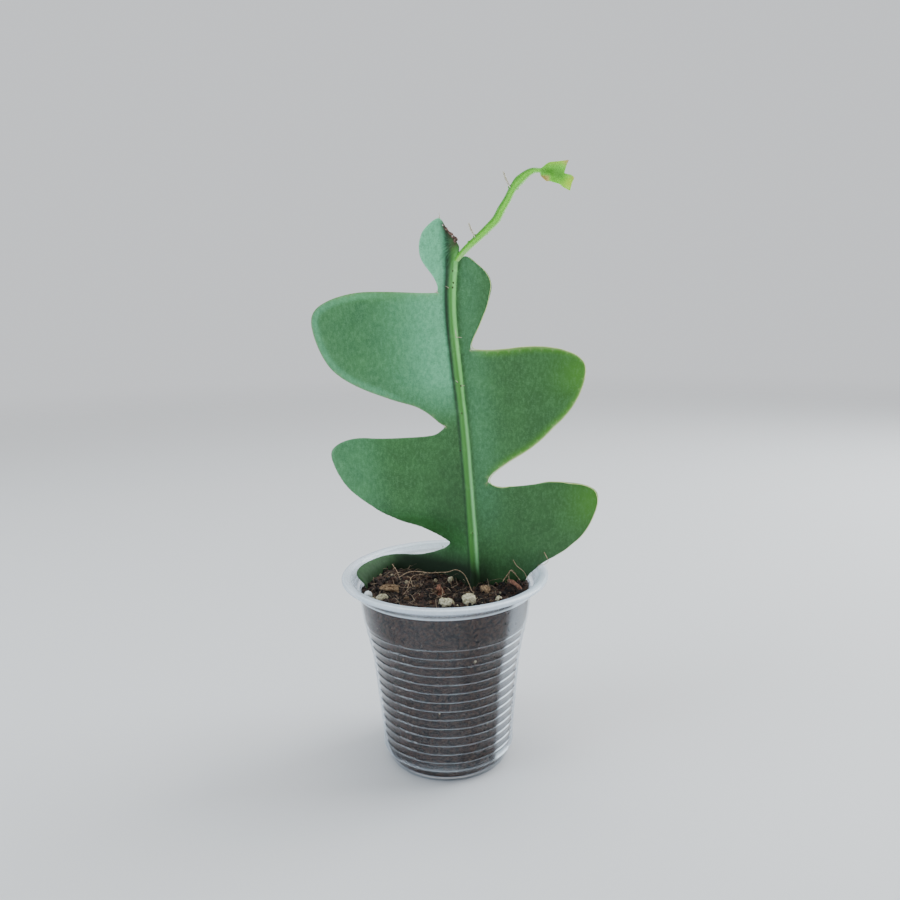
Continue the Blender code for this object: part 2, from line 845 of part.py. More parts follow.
def ball(name, middle, half_sizes, turn, finish, roughness=0.0, seed=0.0, detail=2):
    """A faceted grain: a ball stretched, turned and roughened."""
    shape = bmesh.new()
    bmesh.ops.create_icosphere(shape, subdivisions=detail, radius=1.0)
    for vertex in shape.verts:
        rough = noise.noise(vertex.co * GRAIN_LUMPS + Vector((seed, 0.0, 0.0)))
        vertex.co *= 1.0 + roughness * max(-1.0, min(1.0, 2.0 * rough))
        vertex.co = turn @ Vector(a * b for a, b in zip(vertex.co, half_sizes))
        vertex.co += middle
    return add_object(name, shape, finish)


def make_shoot():
    """The young shoot, its flared toothed tip, its nodes and two bristles, as one body."""
    green = material("young_green", (0.27, 0.5, 0.07), 0.4)
    line = smooth_line(SHOOT_LINE, 3)
    radii = [point.x for point in smooth_line([(radius, 0.0) for radius in SHOOT_RADII], 3)]
    stalk = tube("new_shoot", line, radii, SHOOT_SIDES, green)
    shape = bmesh.new()
    loop = spaced_corners(TIP_OUTLINE, TIP_STEP)
    tip_y = SHOOT_LINE[-1][1]
    grid = grid_inside(loop, TIP_GRID, TIP_STEP / 2.0)
    skin(shape, loop, grid, lambda x, z: ((x, tip_y - TIP_HALF, z), (x, tip_y + TIP_HALF, z)))
    parts = [add_object("tip", shape, green)]
    turn = Matrix.Identity(3)
    for number, (x, z) in enumerate(SHOOT_NODES):
        middle = Vector((x, 0.0, z))
        size = (SHOOT_NODE_RADIUS,) * 3
        parts.append(ball(f"node_{number}", middle, size, turn, green, detail=1))
    for number, (start, end) in enumerate(BRISTLES):
        points = [Vector(start), Vector(start).lerp(Vector(end), 0.5), Vector(end)]
        middle_radius = (BRISTLE_RADIUS + BRISTLE_TIP_RADIUS) / 2.0
        thick = [BRISTLE_RADIUS, middle_radius, BRISTLE_TIP_RADIUS]
        parts.append(tube(f"bristle_{number}", points, thick, 4, green))
    combine(stalk, parts, "UNION")
    return stalk


def spaced_corners(corners, step):
    """A closed loop of straight sides between corners, with points about one step apart."""
    loop = []
    points = [Vector(corner) for corner in corners]
    for first, second in zip(points, points[1:] + points[:1]):
        loop += spaced([first, second], step)[:-1]
    if signed_area(loop) < 0.0:
        loop.reverse()
    return loop


def signed_area(loop):
    """Twice the area inside a loop, positive if it runs anticlockwise."""
    return sum(a.x * b.y - b.x * a.y for a, b in zip(loop, loop[1:] + loop[:1]))


def make_dry_tip():
    """The brown scar along the apex, with a rough face."""
    brown = material("dry_brown", (0.14, 0.08, 0.06), 0.85)
    loop = spaced_corners(SCAR_OUTLINE, SCAR_STEP)
    shape = bmesh.new()

    def both_sides(across, up):
        rough = SCAR_ROUGH * noise.noise(Vector((across, up, 0.0)) * SCAR_GRAIN)
        middle = blade_point(across, up)
        normal = blade_normal(across, up)
        return middle + normal * (SCAR_HALF + rough), middle - normal * (SCAR_HALF + rough)

    skin(shape, loop, [], both_sides)
    return add_object("dry_tip", shape, brown)


def make_grains(label, places, finish, draws, soil):
    """Grains sunk in the soil, with the pockets that they sit in cut from it."""
    pockets = []
    for number, ((x, y), half_sizes) in enumerate(places, 1):
        turn = Matrix.Rotation(draws.uniform(0.0, math.tau), 3, "Z")
        turn @= Matrix.Rotation(draws.uniform(-GRAIN_TILT, GRAIN_TILT), 3, "X")
        middle = Vector((x, y, soil_height(x, y) + half_sizes[2] * GRAIN_SINK))
        seed = draws.uniform(0.0, 50.0)
        ball(f"{label}_{number}", middle, half_sizes, turn, finish, GRAIN_ROUGHNESS, seed)
        room = [size * POCKET_GROWTH + GAP for size in half_sizes]
        pockets.append(ball(f"{label}_pocket_{number}", middle, room, turn, finish))
    combine(soil, pockets, "DIFFERENCE")


def make_stick(finish):
    """The short stick that leans on the soil."""
    line = smooth_line(STICK, 3)
    return tube("stick", line, [STICK_RADIUS] * len(line), 6, finish)


def make_roots(finish):
    """The fine roots, which rest on the soil at their ends."""
    for number, points in enumerate(ROOTS, 1):
        line = []
        for x, y, rise in points:
            line.append(Vector((x, y, soil_height(x, y) + ROOT_RADIUS + ROOT_REST + rise)))
        line = smooth_line(line, 2)
        tube(f"root_{number}", line, [ROOT_RADIUS] * len(line), ROOT_SIDES, finish)


RIB_LINE_SMOOTH = [(point.x, point.y) for point in smooth_line(RIB_LINE, 8)]
CURL_POINTS = smooth_line(CURL_PATH, 40)
CURL_LENGTHS = [0.0]
for start, end in zip(CURL_POINTS, CURL_POINTS[1:]):
    CURL_LENGTHS.append(CURL_LENGTHS[-1] + (end - start).length)


def main():
    """Builds the cup, the soil and the plant."""
    clear_scene()
    draws = random.Random(7)
    soil_brown = material("soil_brown", (0.035, 0.022, 0.015), 0.95)
    make_cup()
    soil = make_soil(soil_brown)
    combine(soil, [slot_cutter(soil_brown)], "DIFFERENCE")
    make_grains("perlite", PERLITE, material("perlite", (0.68, 0.66, 0.52), 0.9), draws, soil)
    make_grains("bark", BARK, material("bark", (0.28, 0.15, 0.08), 0.9), draws, soil)
    make_stem_segment()
    make_dry_tip()
    make_shoot()
    make_stick(material("stick", (0.2, 0.09, 0.05), 0.85))
    make_roots(material("root", (0.45, 0.32, 0.16), 0.8))


main()
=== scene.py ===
"""Dresses a potted epiphyllum cutting: its clear ribbed cup, potting mix, lobed stem and young shoot.

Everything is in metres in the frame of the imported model, with +Z up and the origin at the centre
of the cup's flat underside. The broad face of the plant looks along -Y. A place on the flat stem
is given as (across, up): the distance from the midrib, negative on the left, and the height.
"""

import logging
import math
import random
from collections.abc import Iterable
from dataclasses import dataclass
from enum import Enum
from itertools import groupby

import bmesh
import bpy
import numpy as np
from bmesh.types import BMesh, BMFace, BMVert
from bpy.types import Material, Object
from mathutils import Euler, Matrix, Vector, kdtree, noise

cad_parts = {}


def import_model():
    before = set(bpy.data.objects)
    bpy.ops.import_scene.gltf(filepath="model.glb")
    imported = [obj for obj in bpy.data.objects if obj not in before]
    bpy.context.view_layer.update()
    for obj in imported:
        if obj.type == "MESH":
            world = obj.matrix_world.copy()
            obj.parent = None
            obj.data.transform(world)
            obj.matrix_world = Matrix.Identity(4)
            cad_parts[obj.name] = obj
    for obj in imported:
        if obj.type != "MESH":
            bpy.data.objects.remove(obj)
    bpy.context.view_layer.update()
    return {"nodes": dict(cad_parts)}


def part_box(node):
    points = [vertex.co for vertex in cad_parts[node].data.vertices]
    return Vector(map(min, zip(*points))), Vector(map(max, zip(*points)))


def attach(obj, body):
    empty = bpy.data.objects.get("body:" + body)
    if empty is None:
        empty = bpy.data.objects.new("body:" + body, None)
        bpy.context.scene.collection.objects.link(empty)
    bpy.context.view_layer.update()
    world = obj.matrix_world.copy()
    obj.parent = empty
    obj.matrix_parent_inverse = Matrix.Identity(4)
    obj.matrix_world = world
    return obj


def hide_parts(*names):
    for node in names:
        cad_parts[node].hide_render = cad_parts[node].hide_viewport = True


MM = 0.001
BODY = "root"

Colour = tuple[float, float, float]
Point = tuple[float, float, float]
Flat = tuple[float, float]
Points = tuple[Point, ...]
Table = tuple[Flat, ...]
Numbers = tuple[float, ...]
Array = np.ndarray
Values = Array | float
Strand = tuple[list[Vector], Numbers]
LOG = logging.getLogger("potted_epiphyllum")


class Slot(Enum):
    """The record's material slots."""

    CLEAR = "clear_plastic"
    SOIL = "soil"
    STEM = "stem_green"
    YOUNG = "young_green"
    DRY = "dry_tip"
    PERLITE = "perlite"
    BARK = "bark"
    ROOT = "root"


def paint(red: int, green: int, blue: int) -> Colour:
    """Turns a colour as a screen shows it, 0 to 255, into the linear values of a shader."""
    shares = (red / 255.0, green / 255.0, blue / 255.0)
    return tuple(s / 12.92 if s < 0.04045 else ((s + 0.055) / 1.055) ** 2.4 for s in shares)


def ramp(value: Values, start: Values, end: Values) -> Values:
    """Rises smoothly from 0 at start to 1 at end."""
    held = np.clip((value - start) / (end - start), 0.0, 1.0)
    return held * held * (3.0 - 2.0 * held)


def hump(value: Values, middle: Values, half: Values, power: int = 1) -> Values:
    """Falls smoothly from 1 at middle to nothing at about twice half, more abruptly at a higher power."""
    return np.exp(-np.square(((value - middle) / half) ** power))


def spot(x: Values, z: Values, middle_x: float, middle_z: float, reach: float) -> Values:
    """Falls smoothly from 1 at the middle of a round spot to nothing at about twice its reach."""
    return hump(np.hypot(x - middle_x, z - middle_z), 0.0, reach)


def read(table: Iterable[Flat | Vector], value: Values) -> Values:
    """Reads a table of (value, result) pairs, in straight lines between its entries."""
    return np.interp(value, *zip(*table))


def beside(points: Array, start: Flat | Point, end: Flat | Point) -> tuple[Array, Array]:
    """Finds where points lie beside a straight span.

    Args:
        points: The points, one row each.
        start: The span's start.
        end: The span's end.

    Returns:
        The share of the way along the span that each point is nearest to, and its offset from there.
    """
    run = np.subtract(end, start)
    share = np.clip((points - start) @ run / (run @ run), 0.0, 1.0)[:, None]
    return share, points - start - run * share


def smooth_line(points: Iterable[Flat | Point | Vector], pieces: int) -> list[Vector]:
    """Draws a Catmull-Rom curve through points.

    Args:
        points: The points that the curve passes through.
        pieces: How many pieces each span is cut into.

    Returns:
        The points along the curve.
    """
    knots = [Vector(point) for point in points]
    knots = [2.0 * knots[0] - knots[1], *knots, 2.0 * knots[-1] - knots[-2]]
    made = []
    for first, second, third, fourth in zip(knots, knots[1:], knots[2:], knots[3:]):
        slope = 2.0 * first - 5.0 * second + 4.0 * third - fourth
        bend = 3.0 * second - first - 3.0 * third + fourth
        for step in range(pieces):
            t = step / pieces
            made.append(0.5 * (2.0 * second + (third - first) * t + slope * t**2 + bend * t**3))
    made.append(knots[-2])
    return made


class Socket:
    """An output of a shader node that can be used in arithmetic."""

    def __init__(self, tree: "ShaderTree", output: bpy.types.NodeSocket) -> None:
        """Keeps the output and the tree that it belongs to."""
        self.tree = tree
        self.output = output

    def __add__(self, other: "Socket | float") -> "Socket":
        """Adds."""
        return self.tree.math("ADD", self, other)

    def __radd__(self, other: float) -> "Socket":
        """Adds to a plain number."""
        return self.tree.math("ADD", other, self)

    def __sub__(self, other: "Socket | float") -> "Socket":
        """Subtracts."""
        return self.tree.math("SUBTRACT", self, other)

    def __rsub__(self, other: float) -> "Socket":
        """Subtracts from a plain number."""
        return self.tree.math("SUBTRACT", other, self)

    def __mul__(self, other: "Socket | float") -> "Socket":
        """Multiplies."""
        return self.tree.math("MULTIPLY", self, other)

    def __rmul__(self, other: float) -> "Socket":
        """Multiplies a plain number."""
        return self.tree.math("MULTIPLY", other, self)

    def between(self, low: float, high: float) -> "Socket":
        """Rises smoothly from 0 at low to 1 at high, or falls where low is the larger."""
        ends = {"From Min": low, "From Max": high, "Value": self}
        return self.tree.node("ShaderNodeMapRange", {"interpolation_type": "SMOOTHSTEP"}, ends)


class ShaderTree:
    """One material and the calls that wire its nodes."""

    def __init__(self, name: str) -> None:
        """Starts a material that holds only its output.

        Args:
            name: The material's name.
        """
        self.material = bpy.data.materials.new(name)
        self.material.use_nodes = True
        self.nodes = self.material.node_tree.nodes
        self.links = self.material.node_tree.links
        self.nodes.clear()
        self.output = self.nodes.new("ShaderNodeOutputMaterial")

    def node(self, kind: str, settings: dict, inputs: dict, output: int | str = 0) -> Socket:
        """Adds a node.

        Args:
            kind: The node's type.
            settings: Its properties, set before its sockets.
            inputs: The value or the link of each socket, by its name or number.
            output: The name or number of the output that is wanted.

        Returns:
            That output.
        """
        made = self.nodes.new(kind)
        for key, value in settings.items():
            setattr(made, key, value)
        for key, value in inputs.items():
            target = made.inputs[key]
            if isinstance(value, Socket):
                self.links.new(value.output, target)
            elif target.type == "RGBA" and len(value) == 3:
                target.default_value = (*value, 1.0)
            else:
                target.default_value = value
        return Socket(self, made.outputs[output])

    def math(self, operation: str, first: Socket | float, second: Socket | float) -> Socket:
        """Works out one sum of two numbers."""
        return self.node("ShaderNodeMath", {"operation": operation}, {0: first, 1: second})

    def mix(self, factor: Socket | float, first: Socket | Colour, second: Socket | Colour) -> Socket:
        """Mixes two colours, all the first at 0 and all the second at 1."""
        settings = {"data_type": "RGBA", "clamp_factor": True}
        return self.node("ShaderNodeMix", settings, {0: factor, 6: first, 7: second}, 2)

    def place(self, stretch: Point = (1.0, 1.0, 1.0)) -> Socket:
        """Reads the place on the object, with each axis stretched."""
        place = self.node("ShaderNodeTexCoord", {}, {}, "Object")
        return self.node("ShaderNodeMapping", {}, {"Vector": place, "Scale": stretch})

    def noise(self, size: float, detail: float = 2.0, stretch: Point = (1.0, 1.0, 1.0)) -> Socket:
        """Reads a soft noise with lumps of a size in metres, finer ones on them and its axes crowded."""
        inputs = {"Vector": self.place(stretch), "Scale": 1.0 / size, "Detail": detail}
        return self.node("ShaderNodeTexNoise", {}, inputs)

    def specks(self, size: float) -> Socket:
        """Reads the distance to the nearest of many scattered specks that are size apart."""
        inputs = {"Vector": self.place(), "Scale": 1.0 / size}
        return self.node("ShaderNodeTexVoronoi", {}, inputs)

    def attribute(self, name: str) -> Socket:
        """Reads a value that the mesh carries."""
        return self.node("ShaderNodeAttribute", {"attribute_name": name}, {}, "Fac")

    def bump(self, height: Socket, depth: float) -> Socket:
        """Turns a height into a normal, for relief that deep in metres."""
        return self.node("ShaderNodeBump", {}, {"Height": height, "Distance": depth, "Strength": 1.0})

    def layers(self, colour: Socket, paints: dict[str, Colour]) -> Socket:
        """Lays paints over a colour, each where the mesh's value of its name says.

        Args:
            colour: The colour below them.
            paints: Each paint by the name of its value.

        Returns:
            The colour that shows.
        """
        for name, over in paints.items():
            colour = self.mix(self.attribute(name), colour, over)
        return colour

    def surface(self, inputs: dict) -> Socket:
        """Adds a Principled shader."""
        return self.node("ShaderNodeBsdfPrincipled", {}, inputs)

    def finish(self, shader: Socket) -> Material:
        """Ends the material with a shader."""
        self.links.new(shader.output, self.output.inputs["Surface"])
        return self.material


@dataclass(frozen=True)
class StemFinish:
    """The waxy green of the grown stem, with its bloom, warm tips, pale edges and midrib, and the sheen, the
    glow through its edges, the highlights and the shade that are painted on.
    """

    deep: Colour = paint(22, 62, 26)
    light: Colour = paint(76, 140, 74)
    # Waxy bloom colour, also a painted sheen of bluish light from the left on the left lobes and by the
    # midrib.
    bloom: Colour = paint(122, 222, 172)
    # Yellower green of the lobes' ends, also used for a painted glow of light shining through the right edges
    # from behind.
    warm: Colour = paint(84, 158, 24)
    rib: Colour = paint(70, 138, 54)
    # Painted highlight along the midrib's right side.
    stripe: Colour = paint(146, 244, 140)
    # Painted glint, the brightest line of the midrib's highlight.
    glint: Colour = paint(168, 246, 186)
    # Painted shade in the fold along the midrib's left side.
    rib_side: Colour = paint(10, 38, 14)
    # Pale edge line: partly the edge's own colour, partly a painted highlight.
    edge: Colour = paint(176, 208, 138)
    dry: Colour = paint(72, 56, 40)
    shade: Colour = paint(9, 28, 9)
    speck: Colour = paint(124, 186, 134)
    grain: float = 0.3 * MM
    mottle: float = 0.8 * MM
    patch: float = 6.0 * MM
    relief: float = 0.03 * MM
    speck_share: float = 0.16
    roughness: float = 0.38

    def material(self) -> Material:
        """Builds the material.

        Returns:
            The material.
        """
        tree = ShaderTree("stem_green")
        grain = tree.noise(self.grain, 3.0)
        patch = tree.noise(self.patch, 2.0)
        mottle = grain * 0.5 + tree.noise(self.mottle, 3.0, (1.0, 1.0, 0.6)) * 0.5
        colour = tree.mix(mottle * 0.8 + patch * 0.5 - 0.15, self.deep, self.light)
        # Warm green, with the painted glow through the right edges.
        colour = tree.layers(colour, {"warm": self.warm})
        # Painted sheen: the bloom colour also stands for bluish light on the left lobes.
        bloom = tree.attribute("bloom") * (mottle.between(0.3, 0.7) * 0.5 + 0.5)
        colour = tree.mix(bloom, colour, self.bloom)
        colour = tree.mix(mottle.between(0.45, 0.7) * self.speck_share, colour, self.speck)
        colour = tree.layers(colour, {"rib": self.rib})
        # Painted highlight along the midrib's right side, mottled.
        colour = tree.mix(tree.attribute("stripe") * (mottle * 0.4 + 0.7), colour, self.stripe)
        # Painted glint, painted shade beside the midrib, and the pale edge with its painted highlight.
        colour = tree.layers(colour, {"glint": self.glint, "rib_side": self.rib_side, "edge": self.edge})
        colour = tree.mix(tree.attribute("dry") * grain.between(0.35, 0.6), colour, self.dry)
        colour = tree.layers(colour, {"shade": self.shade})
        dull = tree.attribute("shade") * 0.4 + tree.attribute("rib_side") * 0.3
        rough = self.roughness + grain * 0.16 + dull
        inputs = {"Base Color": colour, "Roughness": rough, "Normal": tree.bump(grain, self.relief)}
        return tree.finish(tree.surface({**inputs, "Specular IOR Level": 0.4}))


@dataclass(frozen=True)
class ShootFinish:
    """The light green of the new growth, with the pink and yellow of its toothed tip, painted shade on the
    stalk's upper left and a painted highlight on its lower right.
    """

    green: Colour = paint(132, 240, 66)
    # Deep green of the tip's core, also the painted shade on the stalk's upper left side.
    deep: Colour = paint(58, 136, 22)
    pink: Colour = paint(222, 160, 112)
    yellow: Colour = paint(204, 240, 44)
    # Painted highlight on the stalk's lower right side, on the neck and where the stalk leaves the midrib.
    pale: Colour = paint(186, 232, 160)
    grain: float = 0.9 * MM
    relief: float = 0.02 * MM

    def material(self) -> Material:
        """Builds the material.

        Returns:
            The material.
        """
        tree = ShaderTree("young_green")
        grain = tree.noise(self.grain, 2.0)
        # deep holds the tip's deep green core and the painted shade on the stalk.
        colour = tree.mix(grain.between(0.3, 0.7) * 0.18 + tree.attribute("deep"), self.green, self.deep)
        colour = tree.layers(colour, {"yellow": self.yellow, "pink": self.pink, "pale": self.pale})
        normal = tree.bump(grain, self.relief)
        inputs = {"Base Color": colour, "Roughness": 0.34 + grain * 0.1, "Normal": normal}
        return tree.finish(tree.surface(inputs))


@dataclass(frozen=True)
class RoughFinish:
    """A dull, uneven finish in three colours, for soil, bark, wood, scars, roots and perlite."""

    name: str
    low: Colour
    high: Colour
    fleck: Colour
    grain: float
    fleck_gap: float
    fleck_size: float = 0.22
    relief: float = 0.1 * MM
    stretch: Point = (1.0, 1.0, 1.0)
    roughness: float = 0.9

    def material(self) -> Material:
        """Builds the material.

        Returns:
            The material.
        """
        tree = ShaderTree(self.name)
        grain = tree.noise(self.grain, 4.0, self.stretch)
        flecks = tree.specks(self.fleck_gap).between(self.fleck_size, self.fleck_size * 0.6)
        colour = tree.mix(grain.between(0.32, 0.68), self.low, self.high)
        colour = tree.mix(flecks * tree.noise(self.fleck_gap * 3.0).between(0.45, 0.6), colour, self.fleck)
        inputs = {"Base Color": colour, "Roughness": self.roughness}
        return tree.finish(tree.surface({**inputs, "Normal": tree.bump(grain, self.relief)}))


@dataclass(frozen=True)
class CrumbFinish:
    """The crumbs of the mix: mostly near black, some red-brown, tan or cream."""

    black: Colour = paint(12, 9, 8)
    brown: Colour = paint(24, 17, 14)
    red: Colour = paint(62, 38, 28)
    tan: Colour = paint(108, 86, 64)
    cream: Colour = paint(172, 162, 134)
    grain: float = 0.3 * MM
    relief: float = 0.08 * MM

    def material(self) -> Material:
        """Builds the material.

        Returns:
            The material.
        """
        tree = ShaderTree("soil_crumbs")
        grain = tree.noise(self.grain, 3.0)
        tone = tree.attribute("tone")
        colour = tree.mix(tone.between(0.2, 0.62), self.black, self.brown)
        colour = tree.mix(tone.between(0.68, 0.76), colour, self.red)
        colour = tree.mix(tone.between(0.89, 0.93), colour, self.tan)
        colour = tree.mix(tone.between(0.965, 0.975), colour, self.cream)
        colour = tree.mix(grain.between(0.55, 0.35) * 0.6, colour, self.black)
        inputs = {"Base Color": colour, "Roughness": 0.92, "Normal": tree.bump(grain, self.relief)}
        return tree.finish(tree.surface(inputs))


@dataclass(frozen=True)
class ClearFinish:
    """Thin clear plastic that is milky where it is thick, at the rim and along the ribs, with painted
    reflections and highlights laid into the same milkiness.
    """

    milk: Colour = paint(226, 240, 252)
    clear: Colour = (0.97, 0.98, 1.0)
    edge_on: Colour = (0.6, 0.66, 0.72)
    gloss: Colour = (1.0, 1.0, 1.0)
    straight_on: float = 0.022
    steepness: float = 4.5
    polish: float = 0.06
    milk_roughness: float = 0.1
    drop_share: float = 0.3
    streak: float = 0.7 * MM
    drop_gap: float = 1.3 * MM

    def material(self) -> Material:
        """Builds the material.

        Returns:
            The material.
        """
        tree = ShaderTree("clear_plastic")
        through = tree.node("ShaderNodeBsdfTransparent", {}, {"Color": self.clear})
        mirror = {"Color": self.gloss, "Roughness": self.polish}
        mirror = tree.node("ShaderNodeBsdfAnisotropic", {}, mirror)
        facing = tree.node("ShaderNodeLayerWeight", {}, {"Blend": 0.5}, "Facing")
        through_edge = tree.node("ShaderNodeBsdfTransparent", {}, {"Color": self.edge_on})
        through = {0: facing.between(0.45, 1.0), 1: through, 2: through_edge}
        through = tree.node("ShaderNodeMixShader", {}, through)
        glance = tree.math("POWER", facing, self.steepness) * (1.0 - self.straight_on) + self.straight_on
        outer = 1.0 - tree.node("ShaderNodeNewGeometry", {}, {}, "Backfacing")
        pane = tree.node("ShaderNodeMixShader", {}, {0: glance * outer, 1: through, 2: mirror})
        body = {"Base Color": self.milk, "Roughness": self.milk_roughness, "Specular IOR Level": 0.6}
        streaks = tree.noise(self.streak, 3.0, (1.0, 1.0, 0.12)).between(0.35, 0.65) * 0.1 + 0.95
        drops = tree.specks(self.drop_gap).between(0.13, 0.07)
        drops = drops * tree.noise(self.drop_gap * 5.0).between(0.5, 0.7)
        # haze carries the plastic's milkiness together with the painted reflections and highlights.
        milky = tree.attribute("haze") * streaks + drops * self.drop_share
        return tree.finish(tree.node("ShaderNodeMixShader", {}, {0: milky, 1: pane, 2: tree.surface(body)}))


@dataclass(frozen=True)
class FloorFinish:
    """The plain pale floor, which melts into the air far away from the plant."""

    colour: Colour = paint(214, 216, 218)
    fade_from: float = 0.35
    fade_to: float = 1.3

    def material(self) -> Material:
        """Builds the material.

        Returns:
            The material.
        """
        tree = ShaderTree("floor")
        away = {"operation": "LENGTH"}
        away = tree.node("ShaderNodeVectorMath", away, {0: tree.place()}, "Value")
        air = tree.node("ShaderNodeBsdfTransparent", {}, {})
        floor = tree.surface({"Base Color": self.colour, "Roughness": 0.8})
        fade = {0: away.between(self.fade_from, self.fade_to), 1: floor, 2: air}
        return tree.finish(tree.node("ShaderNodeMixShader", {}, fade))


PERLITE = RoughFinish(
    "perlite", paint(138, 132, 102), paint(208, 203, 176), paint(52, 46, 34), 0.6 * MM, 0.8 * MM, 0.2
)
WHITE_PERLITE = RoughFinish(
    "white_perlite", paint(214, 222, 226), paint(238, 244, 246), paint(190, 190, 180), 0.5 * MM, 0.9 * MM
)
SOIL = RoughFinish(
    "soil", paint(7, 5, 4), paint(64, 43, 33), paint(120, 100, 84), 0.9 * MM, 0.9 * MM, 0.16, 0.25 * MM
)
TAN_BARK = RoughFinish(
    "tan_bark", paint(92, 70, 52), paint(166, 140, 108), paint(48, 34, 26), 0.5 * MM, 0.8 * MM
)
FIBRE = RoughFinish(
    "fibres", paint(60, 46, 36), paint(172, 152, 128), paint(40, 30, 24), 3.0 * MM, 2.0 * MM
)
RED_BARK = RoughFinish(
    "red_bark", paint(74, 44, 34), paint(144, 98, 78), paint(36, 24, 20), 0.35 * MM, 0.9 * MM,
    stretch=(1.0, 1.0, 0.25),
)
SCAR = RoughFinish(
    "scar", paint(40, 30, 26), paint(128, 100, 88), paint(232, 222, 216), 0.6 * MM, 0.8 * MM, 0.34
)
ROOT = RoughFinish(
    "root", paint(128, 104, 80), paint(186, 164, 136), paint(88, 66, 50), 0.6 * MM, 1.2 * MM
)
# Pale horny line along the right lobes' edges, its pale colour partly a painted highlight.
MARGIN_AND_HIGHLIGHT = RoughFinish(
    "horny_margin", paint(170, 206, 112), paint(214, 230, 160), paint(198, 200, 130), 3.0 * MM, 6.0 * MM,
    roughness=0.45,
)
HAIR = RoughFinish(
    "bristle", paint(168, 160, 132), paint(226, 220, 200), paint(140, 130, 104), 0.8 * MM, 3.0 * MM,
    roughness=0.5,
)
SPOT = RoughFinish(
    "areole", paint(34, 30, 20), paint(78, 62, 40), paint(130, 112, 84), 0.25 * MM, 0.6 * MM
)


class Bench:
    """The modelling calls that the pieces share."""

    @staticmethod
    def hold(obj: Object) -> None:
        """Selects one object alone and makes it active.

        Args:
            obj: The object.
        """
        for other in bpy.context.selected_objects:
            other.select_set(False)
        obj.select_set(True)
        bpy.context.view_layer.objects.active = obj

    @staticmethod
    def add(name: str, data: bpy.types.ID) -> Object:
        """Adds an object at the origin and holds it.

        Args:
            name: The object's name.
            data: Its mesh, curve, camera or light.

        Returns:
            The object.
        """
        made = bpy.data.objects.new(name, data)
        bpy.context.collection.objects.link(made)
        Bench.hold(made)
        return made

    @staticmethod
    def weld(node: Object, name: str, square: bool = False) -> Object:
        """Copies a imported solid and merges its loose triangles, as a start for a finer piece.

        Args:
            node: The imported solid.
            name: The copy's name.
            square: Whether triangles are joined into four-sided faces.

        Returns:
            The copy.
        """
        made = Bench.add(name, node.data.copy())
        made.data.materials.clear()
        bpy.ops.object.mode_set(mode="EDIT")
        bpy.ops.mesh.select_all(action="SELECT")
        bpy.ops.mesh.customdata_custom_splitnormals_clear()
        bpy.ops.mesh.remove_doubles(threshold=0.01 * MM)
        if square:
            bpy.ops.mesh.tris_convert_to_quads()
        bpy.ops.mesh.normals_make_consistent(inside=False)
        bpy.ops.object.mode_set(mode="OBJECT")
        return made

    @staticmethod
    def apply(obj: Object, kind: str, **settings: object) -> None:
        """Adds a modifier to an object and applies it.

        Args:
            obj: The object.
            kind: The modifier's type.
            settings: Its settings.
        """
        Bench.hold(obj)
        modifier = obj.modifiers.new(kind, kind)
        for key, value in settings.items():
            setattr(modifier, key, value)
        bpy.ops.object.modifier_apply(modifier=modifier.name)

    @staticmethod
    def refine(obj: Object, levels: int) -> None:
        """Subdivides an object smoothly."""
        Bench.apply(obj, "SUBSURF", levels=levels, render_levels=levels)

    @staticmethod
    def points(obj: Object) -> Array:
        """Reads an object's points, one row each.

        Args:
            obj: The object.

        Returns:
            Their places, in metres.
        """
        flat = np.empty(len(obj.data.vertices) * 3)
        obj.data.vertices.foreach_get("co", flat)
        return flat.reshape(-1, 3)

    @staticmethod
    def normals(obj: Object) -> Array:
        """Reads the direction that each point faces.

        Args:
            obj: The object.

        Returns:
            The directions, one row each.
        """
        flat = np.empty(len(obj.data.vertices) * 3)
        obj.data.vertices.foreach_get("normal", flat)
        return flat.reshape(-1, 3)

    @staticmethod
    def move(obj: Object, points: Array) -> None:
        """Writes an object's points."""
        obj.data.vertices.foreach_set("co", points.ravel())
        obj.data.update()

    @staticmethod
    def carry(obj: Object, name: str, values: Array) -> None:
        """Stores a value with each point, for a material to read."""
        held = obj.data.attributes.get(name) or obj.data.attributes.new(name, "FLOAT", "POINT")
        held.data.foreach_set("value", np.clip(values, 0.0, 1.0).astype(np.float32))

    @staticmethod
    def search(places: list[Vector] | Array) -> kdtree.KDTree:
        """Prepares the search for the nearest of some places.

        Args:
            places: The places.

        Returns:
            The search.
        """
        tree = kdtree.KDTree(len(places))
        for number, place in enumerate(places):
            tree.insert(place, number)
        tree.balance()
        return tree

    @staticmethod
    def roughen(obj: Object, size: float, depth: float, seed: float = 0.0) -> None:
        """Pushes an object's points in and out along their normals.

        Args:
            obj: The object.
            size: How wide the lumps are.
            depth: How far a point moves at most.
            seed: Which part of the noise is used.
        """
        points, normals = Bench.points(obj), Bench.normals(obj)
        shift = Vector((seed, seed, seed))
        lumps = [noise.noise(Vector(point) / size + shift) for point in points]
        Bench.move(obj, points + normals * (np.array(lumps)[:, None] * 1.6 * depth))

    @staticmethod
    def tubes(name: str, lines: list[Strand], sides: int = 1) -> Object:
        """Makes one mesh of round strands.

        Args:
            name: The object's name.
            lines: For each strand its points and its radii, spread evenly from its start to its end.
            sides: The smoothness of its round, from 1.

        Returns:
            The mesh object.
        """
        curve = bpy.data.curves.new(name, "CURVE")
        curve.dimensions = "3D"
        curve.bevel_depth = 1.0
        curve.bevel_resolution = sides
        curve.use_fill_caps = True
        for points, radii in lines:
            spline = curve.splines.new("POLY")
            spline.points.add(len(points) - 1)
            shares = np.linspace(0.0, 1.0, len(points))
            widths = np.interp(shares, np.linspace(0.0, 1.0, len(radii)), radii)
            for knot, point, width in zip(spline.points, points, widths):
                knot.co = (*point, 1.0)
                knot.radius = width
        Bench.add(name, curve)
        bpy.ops.object.convert(target="MESH")
        return bpy.context.view_layer.objects.active

